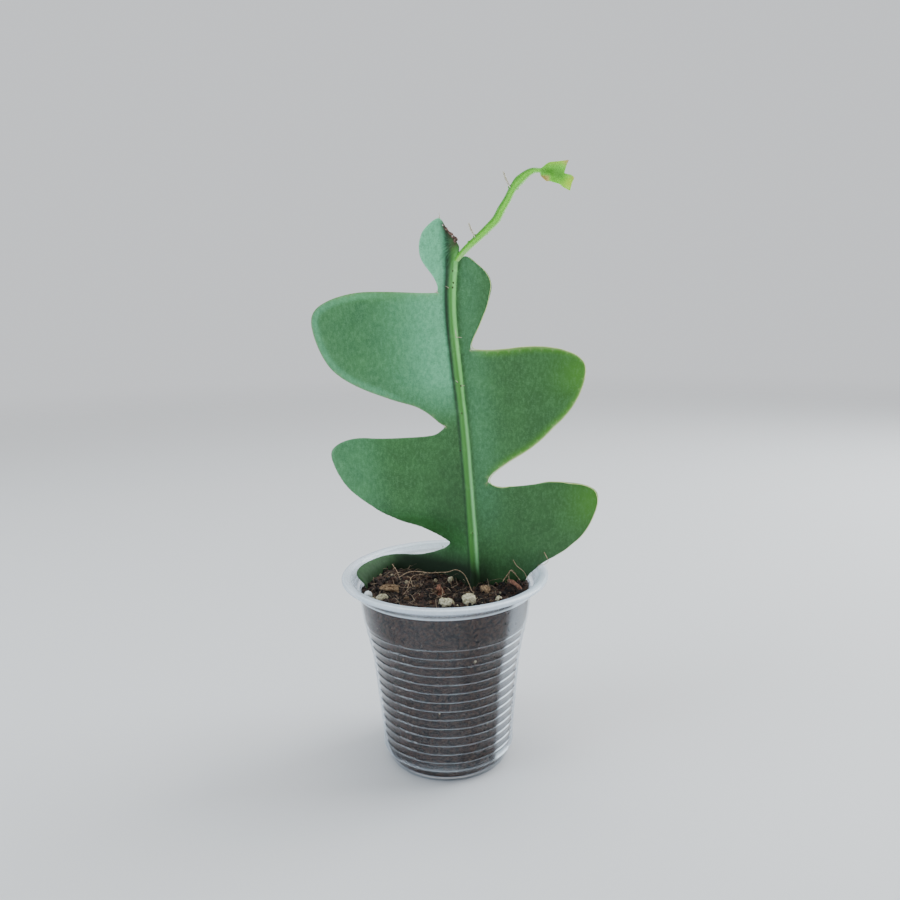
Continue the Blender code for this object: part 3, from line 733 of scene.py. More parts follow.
    @staticmethod
    def turn(name: str, line: list[Flat], segments: int) -> Object:
        """Turns a solid from its half section.

        Args:
            name: The object's name.
            line: The (radius, height) points of the section, in millimetres, both ends on the axis.
            segments: How many steps the turn has.

        Returns:
            The closed solid.
        """
        bpy.ops.mesh.primitive_plane_add(size=MM, location=(0.0, 0.0, 0.0))
        made = bpy.context.object
        made.name = name
        Bench.hold(made)
        bpy.ops.object.mode_set(mode="EDIT")
        bpy.ops.mesh.select_mode(type="VERT")
        bpy.ops.mesh.merge(type="CENTER")
        bpy.ops.transform.translate(value=(line[0][0] * MM, 0.0, line[0][1] * MM))
        for (radius, z), (next_radius, next_z) in zip(line, line[1:]):
            step = ((next_radius - radius) * MM, 0.0, (next_z - z) * MM)
            bpy.ops.mesh.extrude_region_move(TRANSFORM_OT_translate={"value": step})
        bpy.ops.mesh.select_all(action="SELECT")
        bpy.ops.mesh.spin(steps=segments, angle=math.tau, center=(0.0, 0.0, 0.0), axis=(0.0, 0.0, 1.0))
        bpy.ops.mesh.select_all(action="SELECT")
        bpy.ops.mesh.remove_doubles(threshold=0.005 * MM)
        bpy.ops.mesh.normals_make_consistent(inside=False)
        bpy.ops.object.mode_set(mode="OBJECT")
        return made

    @staticmethod
    def join(name: str, objects: list[Object]) -> Object:
        """Joins objects into one.

        Args:
            name: The name of the whole.
            objects: The objects.

        Returns:
            The whole.
        """
        Bench.hold(objects[0])
        for other in objects[1:]:
            other.select_set(True)
        bpy.ops.object.join()
        objects[0].name = name
        return objects[0]

    @staticmethod
    def dress(obj: Object, material: Material, slot: Slot, nodes: tuple[str, ...] = ()) -> None:
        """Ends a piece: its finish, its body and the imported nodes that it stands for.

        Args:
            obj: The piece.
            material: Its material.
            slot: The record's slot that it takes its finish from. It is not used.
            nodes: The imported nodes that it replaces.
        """
        obj.data.materials.clear()
        obj.data.materials.append(material)
        Bench.hold(obj)
        bpy.ops.object.shade_smooth_by_angle(angle=math.radians(50.0))
        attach(obj, BODY)
        if nodes:
            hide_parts(*nodes)
        LOG.info("%s: %d faces, replaces %s", obj.name, len(obj.data.polygons), nodes or "nothing")


@dataclass
class Studio:
    """The camera, the pale floor that melts into the air, the soft light all round and the lamps."""

    camera_place: Point = (2.215 * MM, -211.575 * MM, 133.035 * MM)
    pitch: float = math.radians(-10.875)
    roll: float = -0.0201
    lens: float = 30.4
    sensor: float = 36.0
    nearest: float = 0.01
    floor_radius: float = 2.4
    air_colour: Colour = paint(228, 231, 235)
    air_before: float = 0.26
    air_behind: float = 1.0
    air_turn: Flat = (-0.3, 0.8)
    backdrop: float = 1.08
    aim: Point = (0.0, 0.0, 0.08)
    lamps: tuple[tuple[str, Point, Flat, float, Colour], ...] = (
        ("sky_left", (-0.62, -0.22, 0.30), (0.4, 0.7), 4.0, (0.78, 0.9, 1.0)),
        ("window_right", (0.62, 0.2, 0.42), (0.5, 0.75), 8.0, (0.92, 0.97, 1.0)),
        ("ceiling", (0.0, 0.1, 1.6), (1.6, 1.6), 20.0, (1.0, 0.99, 0.97)),
        ("front", (0.05, -1.3, 0.35), (0.9, 1.2), 4.5, (1.0, 0.98, 0.97)),
    )

    def camera(self) -> None:
        """Sets up the camera where the photograph was taken from."""
        data = bpy.data.cameras.new("camera")
        data.lens = self.lens
        data.sensor_width = self.sensor
        data.clip_start = self.nearest
        made = Bench.add("camera", data)
        turn = Matrix.Rotation(math.radians(90.0) + self.pitch, 4, "X") @ Matrix.Rotation(self.roll, 4, "Z")
        made.matrix_world = Matrix.Translation(self.camera_place) @ turn
        bpy.context.scene.camera = made

    def light(self, name: str, place: Point, size: Flat, power: float, colour: Colour) -> None:
        """Adds a soft rectangular light that looks at the plant.

        Args:
            name: The light's name.
            place: Where it stands.
            size: Its width and height.
            power: Its power in watts.
            colour: Its colour.
        """
        data = bpy.data.lights.new(name, "AREA")
        data.shape = "RECTANGLE"
        data.size, data.size_y = size
        data.energy = power
        data.color = colour
        made = Bench.add(name, data)
        turn = (Vector(self.aim) - Vector(place)).to_track_quat("-Z", "Y").to_matrix().to_4x4()
        made.matrix_world = Matrix.Translation(place) @ turn

    def floor(self) -> None:
        """Lays the round floor."""
        bpy.ops.mesh.primitive_circle_add(vertices=64, radius=self.floor_radius, fill_type="NGON")
        floor = bpy.context.object
        floor.name = "floor"
        floor.data.materials.append(FloorFinish().material())

    def air(self) -> None:
        """Fills the room with soft light, stronger behind the plant, against one pale backdrop."""
        world = bpy.data.worlds.new("studio")
        world.use_nodes = True
        nodes, links = world.node_tree.nodes, world.node_tree.links
        way = nodes.new("ShaderNodeTexCoord").outputs["Generated"]
        split = nodes.new("ShaderNodeSeparateXYZ")
        spread = nodes.new("ShaderNodeMapRange")
        spread.interpolation_type = "SMOOTHSTEP"
        for socket, value in zip(spread.inputs[1:5], (*self.air_turn, self.air_before, self.air_behind)):
            socket.default_value = value
        links.new(way, split.inputs[0])
        links.new(split.outputs["Y"], spread.inputs[0])
        sight = nodes.new("ShaderNodeMix")
        sight.inputs["B"].default_value = self.backdrop
        links.new(nodes.new("ShaderNodeLightPath").outputs["Is Camera Ray"], sight.inputs["Factor"])
        links.new(spread.outputs[0], sight.inputs["A"])
        links.new(sight.outputs["Result"], nodes["Background"].inputs["Strength"])
        nodes["Background"].inputs["Color"].default_value = (*self.air_colour, 1.0)
        bpy.context.scene.world = world

    def build(self) -> None:
        """Sets up the whole studio."""
        self.camera()
        self.floor()
        self.air()
        for lamp in self.lamps:
            self.light(*lamp)


@dataclass(frozen=True)
class Milk:
    """How milky each part of the cup's plastic is, from 0 for clear to 1.

    rim_share goes by the turn round the cup in degrees, from 0 at the front. Each of the painted reflections,
    upright milky bands that stand for soft windows mirrored in the wall, is a turn, a half width and a depth.
    outside and on_rim are where those parts start and end, and a painted highlight line of the rim is a
    distance from its edge and a half width.
    """

    wall: float = 0.004
    smear: float = 0.04
    upper: float = 0.03
    # Milkiness of the rib crests, partly the plastic's own and partly a painted highlight line.
    rib: float = 0.26
    foot: float = 0.25
    ledge: float = 0.6
    rim: float = 0.5
    # Painted highlight lines along the rim's outer and inner edges.
    rim_line: float = 0.42
    rim_share: Table = (
        (-150.0, 0.8), (-90.0, 0.5), (-30.0, 0.95), (20.0, 1.2), (90.0, 1.0), (150.0, 0.8)
    )
    smear_size: Point = (7.0, 7.0, 40.0)
    # Painted reflections: upright milky bands that stand for soft windows mirrored in the wall.
    bands: Points = ((54.0, 10.0, 0.95), (-8.0, 20.0, 0.06), (-64.0, 14.0, 0.04))
    outside: Flat = (-0.1, 0.2)
    on_rim: Flat = (0.9, 1.6)
    outer_line: Flat = (0.5, 0.28)
    inner_line: Flat = (0.25, 0.25)
    ring_half: float = 0.3


@dataclass
class Cup:
    """The clear cup, turned from one line: ribbed wall, smooth band, collar and rolled rim.

    Its sizes are in millimetres, and a place on its section is a (radius, height).
    """

    segments: int = 160
    wall: float = 0.5
    floor: float = 0.6
    base_flat: float = 9.0
    foot_line: Table = (
        (16.4, 0.0), (17.2, 0.1), (17.9, 0.6), (18.4, 1.8), (19.15, 3.9), (19.6, 4.4), (19.2, 4.9)
    )
    inner_foot: Table = ((18.5, 4.0), (18.0, 2.4), (17.5, 1.2), (16.6, 0.6))
    wall_heights: Numbers = (4.9, 6.0, 15.0, 24.0, 31.6, 37.1, 42.6, 43.4, 48.0, 52.2)
    wall_radii: Numbers = (19.1, 19.2, 19.95, 20.75, 21.5, 22.5, 23.7, 24.2, 24.8, 25.2)
    rib_count: int = 14
    rib_pitch: float = 2.754
    top_rib: float = 42.64
    rib_proud: float = 0.28
    rib_half: float = 0.36
    foot_rib: float = 4.4
    ledge: Flat = (25.9, 52.4)
    collar: Table = (
        (25.4, 52.22), (26.25, 52.25), (26.5, 52.5), (26.6, 53.4), (26.7, 54.4), (26.8, 54.9)
    )
    rim_radius: float = 30.0
    rim_width: float = 2.74
    rim_height: float = 1.7
    rim_z: float = 55.85
    rim_steps: int = 26
    rim_turn: Flat = (-115.0, 170.0)
    lip: Table = (
        (27.0, 55.4), (26.4, 55.0), (26.15, 54.5), (26.0, 53.2), (25.6, 52.85), (24.8, 52.7)
    )
    milk: Milk = Milk()

    def swell(self, z: float) -> float:
        """Works out how far the nearest rib stands out of the wall at a height, from 0 to 1.

        Args:
            z: The height.

        Returns:
            The share.
        """
        number = min(max(round((self.top_rib - z) / self.rib_pitch), 0), self.rib_count - 1)
        offset = abs(z - self.top_rib + number * self.rib_pitch) / self.rib_half
        return math.cos(min(offset, 1.0) * math.pi / 2.0) ** 2

    def heights(self) -> list[float]:
        """Lists the heights at which the wall needs a point, lowest first.

        Returns:
            The heights.
        """
        shares = (-1.0, -0.65, -0.35, 0.0, 0.35, 0.65, 1.0, 1.9)
        crests = [self.top_rib - number * self.rib_pitch for number in reversed(range(self.rib_count))]
        made = [crest + share * self.rib_half for crest in crests for share in shares]
        made += [float(z) for z in np.linspace(self.top_rib + 1.6, self.wall_heights[-1], 12)]
        return made

    def radius(self, z: float) -> float:
        """Reads the radius of the outside of the wall between its ribs."""
        return float(np.interp(z, self.wall_heights, self.wall_radii))

    def line(self) -> list[Flat]:
        """Draws the closed half section, from the middle of the base round to the cup's floor.

        Returns:
            The (radius, height) points, in millimetres.
        """
        foot = [tuple(point) for point in smooth_line(self.foot_line, 3)]
        outer = [(self.radius(z) + self.rib_proud * self.swell(z), z) for z in self.heights()]
        middle = self.rim_radius - self.rim_width / 2.0
        rim = []
        for turn in np.linspace(*np.radians(self.rim_turn), self.rim_steps):
            reach = self.rim_width / 2.0 * math.cos(turn)
            rim.append((middle + reach, self.rim_z + self.rim_height / 2.0 * math.sin(turn)))
        inner = [
            (self.radius(z) - self.wall + 0.6 * self.rib_proud * self.swell(z), z)
            for z in reversed(self.heights())
            if z < self.lip[-1][1] - 0.4
        ]
        outside = [(0.0, 0.0), (self.base_flat, 0.0), *foot, *outer, *self.collar, *rim]
        inside = [*self.lip, *inner, *self.inner_foot, (self.base_flat, self.floor), (0.0, self.floor)]
        return outside + inside

    def haze(self, points: Array) -> Array:
        """Works out how milky the plastic is: most at the rim and in one upright band at the right, which
        with two fainter bands is a painted reflection; the lines along the rim's edges are painted
        highlights, and the ribs' lines partly so.

        Args:
            points: The cup's points.

        Returns:
            A value from 0 to 1 for each.
        """
        milk = self.milk
        z = points[:, 2] / MM
        radius = np.hypot(points[:, 0], points[:, 1]) / MM
        turn = np.degrees(np.arctan2(points[:, 0], -points[:, 1]))
        outside = ramp(radius - np.interp(z, self.wall_heights, self.wall_radii), *milk.outside)
        ribs = np.array([self.swell(height) for height in z]) ** 4
        smear = np.array([noise.noise(Vector(place / milk.smear_size)) for place in points / MM])
        # Painted reflections, laid as upright milky bands.
        bands = sum(hump(turn, middle, half, 3) * depth for middle, half, depth in milk.bands)
        wall = milk.wall + milk.smear * ramp(smear, 0.0, 0.5) + milk.upper * ramp(z - self.top_rib, 0.0, 3.0)
        on_rim = ramp(z - self.ledge[1], *milk.on_rim)
        # The ribs' milky crests are partly the plastic's own and partly painted highlight lines.
        wall = (wall + bands) * outside * (1.0 - on_rim) + milk.rib * ribs * outside
        (outer, outer_half), (inner, inner_half) = milk.outer_line, milk.inner_line
        # Painted highlights: milky lines along the rim's outer and inner edges.
        lines = hump(radius, self.rim_radius - outer, outer_half)
        lines += hump(radius, self.rim_radius - self.rim_width + inner, inner_half)
        rim = milk.rim + milk.rim_line * lines * ramp(z - self.rim_z, 0.0, milk.ring_half)
        ledge = hump(z, self.ledge[1], milk.ring_half) * ramp(radius - self.ledge[0], 0.0, milk.ring_half)
        foot = hump(z, self.foot_rib, milk.ring_half)
        return wall + rim * on_rim * read(milk.rim_share, turn) + milk.foot * foot + milk.ledge * ledge

    def build(self) -> None:
        """Turns the cup from its line and finishes it."""
        cup = Bench.turn("clear_cup", self.line(), self.segments)
        Bench.carry(cup, "haze", self.haze(Bench.points(cup)))
        Bench.dress(cup, ClearFinish().material(), Slot.CLEAR, ("cup",))


@dataclass(frozen=True)
class Lumps:
    """One layer of lumps on the mix: how high and wide they are, and which part of the noise they are."""

    height: float
    size: float
    seed: float

    def at(self, x: float, y: float) -> float:
        """Reads how far the layer lifts the mix at a place."""
        return self.height * noise.noise(Vector((x, y, self.seed)) / self.size)


@dataclass
class PottingMix:
    """The mix: a turned body with an uneven top, and the crumbs that lie on it and in its side.

    Its sizes are in millimetres, and the heap is an x, a y, a rise and a width.
    """

    cup: Cup
    level: float = 52.0
    layers: tuple[Lumps, ...] = (Lumps(1.0, 5.5, 3.0), Lumps(0.55, 1.9, 40.0))
    fine: Lumps = Lumps(0.35, 0.8, 7.0)
    sunk: float = 0.15
    heap: tuple[float, float, float, float] = (21.5, -2.5, 1.3, 4.5)
    dent: float = 0.4
    dent_size: float = 2.6
    dent_least: float = 0.05
    dent_from: float = 14.0
    gap: float = 0.12
    side_top: float = 51.0
    segments: int = 220
    top_rings: int = 60
    side_step: float = 0.8
    shape_count: int = 6
    shape_random: float = 0.32
    crumb_count: int = 2100
    crumb_reach: float = 23.5
    wall_crumbs: int = 1000
    wall_heights: Flat = (2.0, 51.5)
    crumb_least: float = 0.2
    crumb_more: float = 0.7
    crumb_rise: Flat = (-0.5, 0.5)
    crumb_width: Flat = (0.5, 1.0)
    crumb_height: Flat = (0.4, 0.9)
    wall_sink: float = 0.55
    seed: int = 11

    def height(self, x: float, y: float) -> float:
        """Reads the height of the top of the mix, in millimetres.

        Args:
            x: The place's x.
            y: Its y.

        Returns:
            The height.
        """
        heap_x, heap_y, rise, size = self.heap
        heap = rise * math.exp(-((x - heap_x) ** 2 + (y - heap_y) ** 2) / size**2)
        return self.level + sum(layer.at(x, y) for layer in self.layers) + heap

    def side(self) -> list[Flat]:
        """Draws the side of the mix, from its top edge down to the middle of the cup's floor.

        Returns:
            The (radius, height) points.
        """
        heights = [self.side_top, *[z for z in reversed(self.cup.wall_heights) if 4.5 < z < self.side_top]]
        made = [(self.cup.radius(z) - self.cup.wall - self.gap, z) for z in heights]
        foot = [(radius - self.gap, z + self.gap) for radius, z in self.cup.inner_foot]
        return [*made, *foot, (0.0, self.cup.floor + self.gap)]

    def side_radius(self, z: float) -> float:
        """Reads the radius of the mix at a height."""
        line = self.side()[::-1]
        return float(np.interp(z, [height for _, height in line], [radius for radius, _ in line]))

    def body(self) -> None:
        """Spins the body and gives its top and its side their lumps."""
        side = self.side()
        radii = np.linspace(0.0, side[0][0], self.top_rings)
        line = [(float(radius), self.side_top + 1.0) for radius in radii]
        for (radius, z), (next_radius, next_z) in zip(side, side[1:]):
            count = max(1, round(math.hypot(next_radius - radius, next_z - z) / self.side_step))
            for number in range(1, count + 1):
                share = number / count
                line.append((radius + (next_radius - radius) * share, z + (next_z - z) * share))
        mix = Bench.turn("potting_mix", line, self.segments)
        points = Bench.points(mix) / MM
        for point in points:
            x, y, z = point
            if z > self.side_top + 0.5:
                point[2] = self.height(x, y) + self.fine.at(x, y) - self.sunk
                continue
            dent = self.dent_least - self.dent * noise.noise(Vector(point) / self.dent_size)
            reach = math.hypot(x, y)
            if reach > self.dent_from:
                point[:2] *= 1.0 - max(dent, 0.0) / reach
        Bench.move(mix, points * MM)
        Bench.dress(mix, SOIL.material(), Slot.SOIL, ("soil",))

    def shapes(self) -> list[Object]:
        """Makes a few angular crumbs that all the others are copies of.

        Returns:
            The crumbs, 1 m in radius.
        """
        made = []
        for number in range(self.shape_count):
            bpy.ops.mesh.primitive_ico_sphere_add(subdivisions=1 + number % 2, radius=1.0)
            crumb = bpy.context.object
            bpy.ops.object.mode_set(mode="EDIT")
            bpy.ops.mesh.select_all(action="SELECT")
            bpy.ops.transform.vertex_random(offset=self.shape_random, seed=number + 3, normal=0.4)
            bpy.ops.object.mode_set(mode="OBJECT")
            made.append(crumb)
        return made

    def crumbs(self) -> None:
        """Scatters the crumbs over the top and along the wall."""
        draws = random.Random(self.seed)
        shapes = self.shapes()
        corners = [Bench.points(shape) for shape in shapes]
        faces = [[tuple(face.vertices) for face in shape.data.polygons] for shape in shapes]
        points, polygons, tones = [], [], []
        count = 0
        for number in range(self.crumb_count + self.wall_crumbs):
            angle = draws.uniform(0.0, math.tau)
            size = self.crumb_least + self.crumb_more * draws.random() ** 3
            if number < self.crumb_count:
                reach = self.crumb_reach * math.sqrt(draws.random())
                x, y = reach * math.cos(angle), reach * math.sin(angle)
                place = (x, y, self.height(x, y) + size * draws.uniform(*self.crumb_rise))
            else:
                z = draws.uniform(*self.wall_heights)
                reach = self.side_radius(z) - size * self.wall_sink
                place = (reach * math.cos(angle), reach * math.sin(angle), z)
            turn = Euler([draws.uniform(0.0, math.tau) for _ in range(3)]).to_matrix()
            width, height = draws.uniform(*self.crumb_width), draws.uniform(*self.crumb_height)
            stretch = np.array((size, size * width, size * height))
            kind = number % len(shapes)
            points.append(((corners[kind] * stretch) @ np.array(turn).T + place) * MM)
            polygons += [tuple(corner + count for corner in face) for face in faces[kind]]
            tones.append(np.full(len(corners[kind]), draws.random()))
            count += len(corners[kind])
        mesh = bpy.data.meshes.new("soil_crumbs")
        mesh.from_pydata(np.concatenate(points).tolist(), [], polygons)
        for shape in shapes:
            bpy.data.objects.remove(shape, do_unlink=True)
        crumbs = Bench.add("soil_crumbs", mesh)
        Bench.carry(crumbs, "tone", np.concatenate(tones))
        Bench.dress(crumbs, CrumbFinish().material(), Slot.SOIL)

    def build(self) -> None:
        """Makes the body and its crumbs."""
        self.body()
        self.crumbs()


@dataclass(frozen=True)
class StemMarks:
    """Where the stem is waxy, warm, ribbed, dry or pale, and where sheen, glow, highlights and shade are
    painted on, from 0 to 1 for each of its points.

    Each point is given by its distance across from the midrib, its height, its distance from the edge,
    whether it faces the front, and half the midrib's width there. Lengths are in millimetres. A pair
    says where a mark starts and where it is whole, or gives its middle and half its width.
    """

    across: Array
    up: Array
    from_edge: Array
    front: Array
    width: Array
    left_side: Flat = (-1.3, -2.5)
    right_side: Flat = (1.3, 2.3)
    near_rib: Flat = (2.0, 13.0)
    lobe_ends: Flat = (-8.0, -22.0)
    far_left: Flat = (-20.0, -32.0)
    above_cup: Flat = (60.0, 80.0)
    upper_lobes: Flat = (98.0, 114.0)
    top_lobe: Flat = (135.0, 141.0)
    lobe_line: Flat = (1.0, 1.3)
    right_of_rib: Flat = (4.0, 5.0)
    # Strengths of the waxy bloom and the painted sheen laid with it.
    bloom_least: float = 0.12
    bloom_near: float = 0.8
    bloom_upper: float = 0.86
    bloom_top: float = 0.9
    bloom_ends: float = 0.42
    bloom_far: float = 0.17
    bloom_right: float = 0.18
    warm_tips: Points = ((36.5, 113.0, 8.5), (38.0, 76.0, 9.0))
    warm_tip: float = 0.6
    warm_right: float = 0.75
    warm_right_half: float = 1.3
    warm_right_from: Flat = (3.0, 9.0)
    warm_left: float = 0.35
    warm_left_half: float = 2.5
    warm_left_from: Flat = (132.0, 136.0)
    to_mix: Flat = (66.0, 52.0)
    in_cup: Flat = (63.0, 54.0)
    in_cup_left: Flat = (8.0, -2.0)
    basal_lobe: Flat = (-20.0, -28.0)
    basal_light: float = 0.55
    low_left: tuple[Flat, Flat] = ((-6.0, 7.0), (76.0, 15.0))
    low_right: tuple[Flat, Flat] = ((1.5, 3.5), (92.0, 84.0))
    shade_low: float = 0.45
    shade_cup: float = 0.66
    shade_left: float = 0.3
    shade_right: float = 0.14
    shade_most: float = 0.96
    rib_top: Flat = (149.5, 147.5)
    edge_line: Flat = (0.12, 0.2)
    edge_share: float = 0.5
    edge_above: Flat = (57.0, 60.0)
    edge_right: float = 0.95
    edge_right_from: Flat = (2.5, 4.5)
    edge_left: float = 0.4
    edge_left_above: Flat = (60.0, 64.0)
    scar_line: Table = ((-3.0, 153.9), (-0.9, 151.5), (0.9, 149.5), (-0.4, 148.4))
    scar_half: float = 0.9
    stripe_left: Flat = (-0.35, 0.25)
    stripe_right: Flat = (0.0, -0.4)
    stripe_width: float = 1.2
    stripe_start: Table = ((60.0, 0.45), (108.0, 0.35), (130.0, 0.02))
    stripe_share: Table = (
        (50.0, 0.2), (55.0, 0.8), (64.0, 0.9), (72.0, 0.75), (96.0, 0.6), (110.0, 0.8), (142.0, 0.9),
        (148.5, 0.0)
    )
    glint_place: float = 0.65
    glint_half: float = 0.45
    glint_share: Table = ((52.0, 0.15), (58.0, 0.5), (80.0, 0.45), (98.0, 0.3), (112.0, 0.0))
    gutter_width: Table = ((60.0, 0.35), (100.0, 0.45), (120.0, 0.55), (140.0, 0.75), (152.0, 1.2))
    gutter_share: Table = ((60.0, 0.5), (100.0, 0.7), (125.0, 0.95))

    @property
    def left(self) -> Array:
        """The left half, up to the midrib."""
        return ramp(self.across, *self.left_side)

    def bloom(self) -> Array:
        """Finds the waxy bloom and the painted sheen laid with it: on the upper left lobes, round the left
        lobes' ends and by the midrib.

        Returns:
            A share for each point.
        """
        across, up = self.across, self.up
        high = ramp(up, *self.upper_lobes)
        near = hump(np.maximum(-across, self.near_rib[0]), *self.near_rib)
        near = self.bloom_least + self.bloom_near * near
        upper = high * np.maximum(self.bloom_upper * near, self.bloom_top * ramp(up, *self.top_lobe))
        ends = self.bloom_ends * hump(self.from_edge, *self.lobe_line) * ramp(across, *self.lobe_ends)
        far = self.bloom_far * ramp(across, *self.far_left) * (1.0 - high)
        right = self.bloom_right * hump(across, *self.right_of_rib) * ramp(across, *self.right_side)
        return (self.left * np.max([upper, ends, far], axis=0) + right) * ramp(up, *self.above_cup)

    def warm(self) -> Array:
        """Finds the yellower green at the right lobes' ends and along the upper left edge, and a painted glow
        of light shining through the right lobes' edges.

        Returns:
            A share for each point.
        """
        ends = [self.warm_tip * spot(self.across, self.up, *tip) for tip in self.warm_tips]
        # Painted glow: light shining through the right lobes' edges, laid as warm green.
        right = self.warm_right * hump(self.from_edge, 0.0, self.warm_right_half)
        right *= ramp(self.across, *self.warm_right_from)
        left = self.warm_left * hump(self.from_edge, 0.0, self.warm_left_half) * self.left
        left *= ramp(self.up, *self.warm_left_from)
        return np.max([*ends, right, left], axis=0)

    def shade(self) -> Array:
        """Finds the shade: towards the mix, inside the cup and in the lowest corners.

        Returns:
            A share for each point.
        """
        across, up = self.across, self.up
        low = self.shade_low * ramp(up, *self.to_mix)
        in_cup = self.shade_cup * ramp(up, *self.in_cup) * ramp(across, *self.in_cup_left)
        in_cup *= 1.0 - self.basal_light * ramp(across, *self.basal_lobe)
        left = self.shade_left * hump(across, *self.low_left[0]) * hump(up, *self.low_left[1])
        right = self.shade_right * ramp(across, *self.low_right[0]) * ramp(up, *self.low_right[1])
        return np.minimum(low + in_cup + left + right, self.shade_most)

    def rib(self) -> Array:
        """Finds the midrib."""
        return hump(self.across, 0.0, self.width, 4) * ramp(self.up, *self.rib_top)

    def stripe(self) -> Array:
        """Finds the painted highlight along the midrib's right side.

        Returns:
            A share for each point.
        """
        start = read(self.stripe_start, self.up) * self.width
        end = self.stripe_width * self.width
        stripe = ramp(self.across - start, *self.stripe_left) * ramp(self.across - end, *self.stripe_right)
        return stripe * read(self.stripe_share, self.up) * self.front

    def glint(self) -> Array:
        """Finds the painted glint, the brightest line of the midrib's painted highlight."""
        line = hump(self.across, self.glint_place * self.width, self.glint_half)
        return line * read(self.glint_share, self.up) * self.front

    def rib_side(self) -> Array:
        """Finds the painted shade in the fold along the midrib's left side."""
        spread = read(self.gutter_width, self.up)
        return hump(self.across, -self.width - spread, spread) * read(self.gutter_share, self.up)

    def dry(self) -> Array:
        """Finds the dry rim along the scar.

        Returns:
            A share for each point.
        """
        places = np.stack((self.across, self.up), axis=1)
        spans = zip(self.scar_line, self.scar_line[1:])
        apart = [np.linalg.norm(beside(places, start, end)[1], axis=1) for start, end in spans]
        return hump(np.min(apart, axis=0), 0.0, self.scar_half)

    def edge(self) -> Array:
        """Finds the fine pale edge, partly its own pale colour and partly a painted highlight, stronger on
        the right lobes.

        Returns:
            A share for each point.
        """
        line = hump(np.maximum(self.from_edge, self.edge_line[0]), *self.edge_line)
        line *= self.edge_share * ramp(self.up, *self.edge_above)
        right = self.edge_right * ramp(self.across, *self.edge_right_from)
        left = self.edge_left * self.left * ramp(self.up, *self.edge_left_above)
        return line * np.minimum(right + left, 1.0) * (1.0 - self.dry())

    def store(self, stem: Object) -> None:
        """Stores them all with the stem's points.

        Args:
            stem: The refined segment.
        """
        for mark in (
            self.dry, self.bloom, self.warm, self.shade, self.rib, self.stripe, self.glint,
            self.rib_side, self.edge,
        ):
            Bench.carry(stem, mark.__name__, mark())


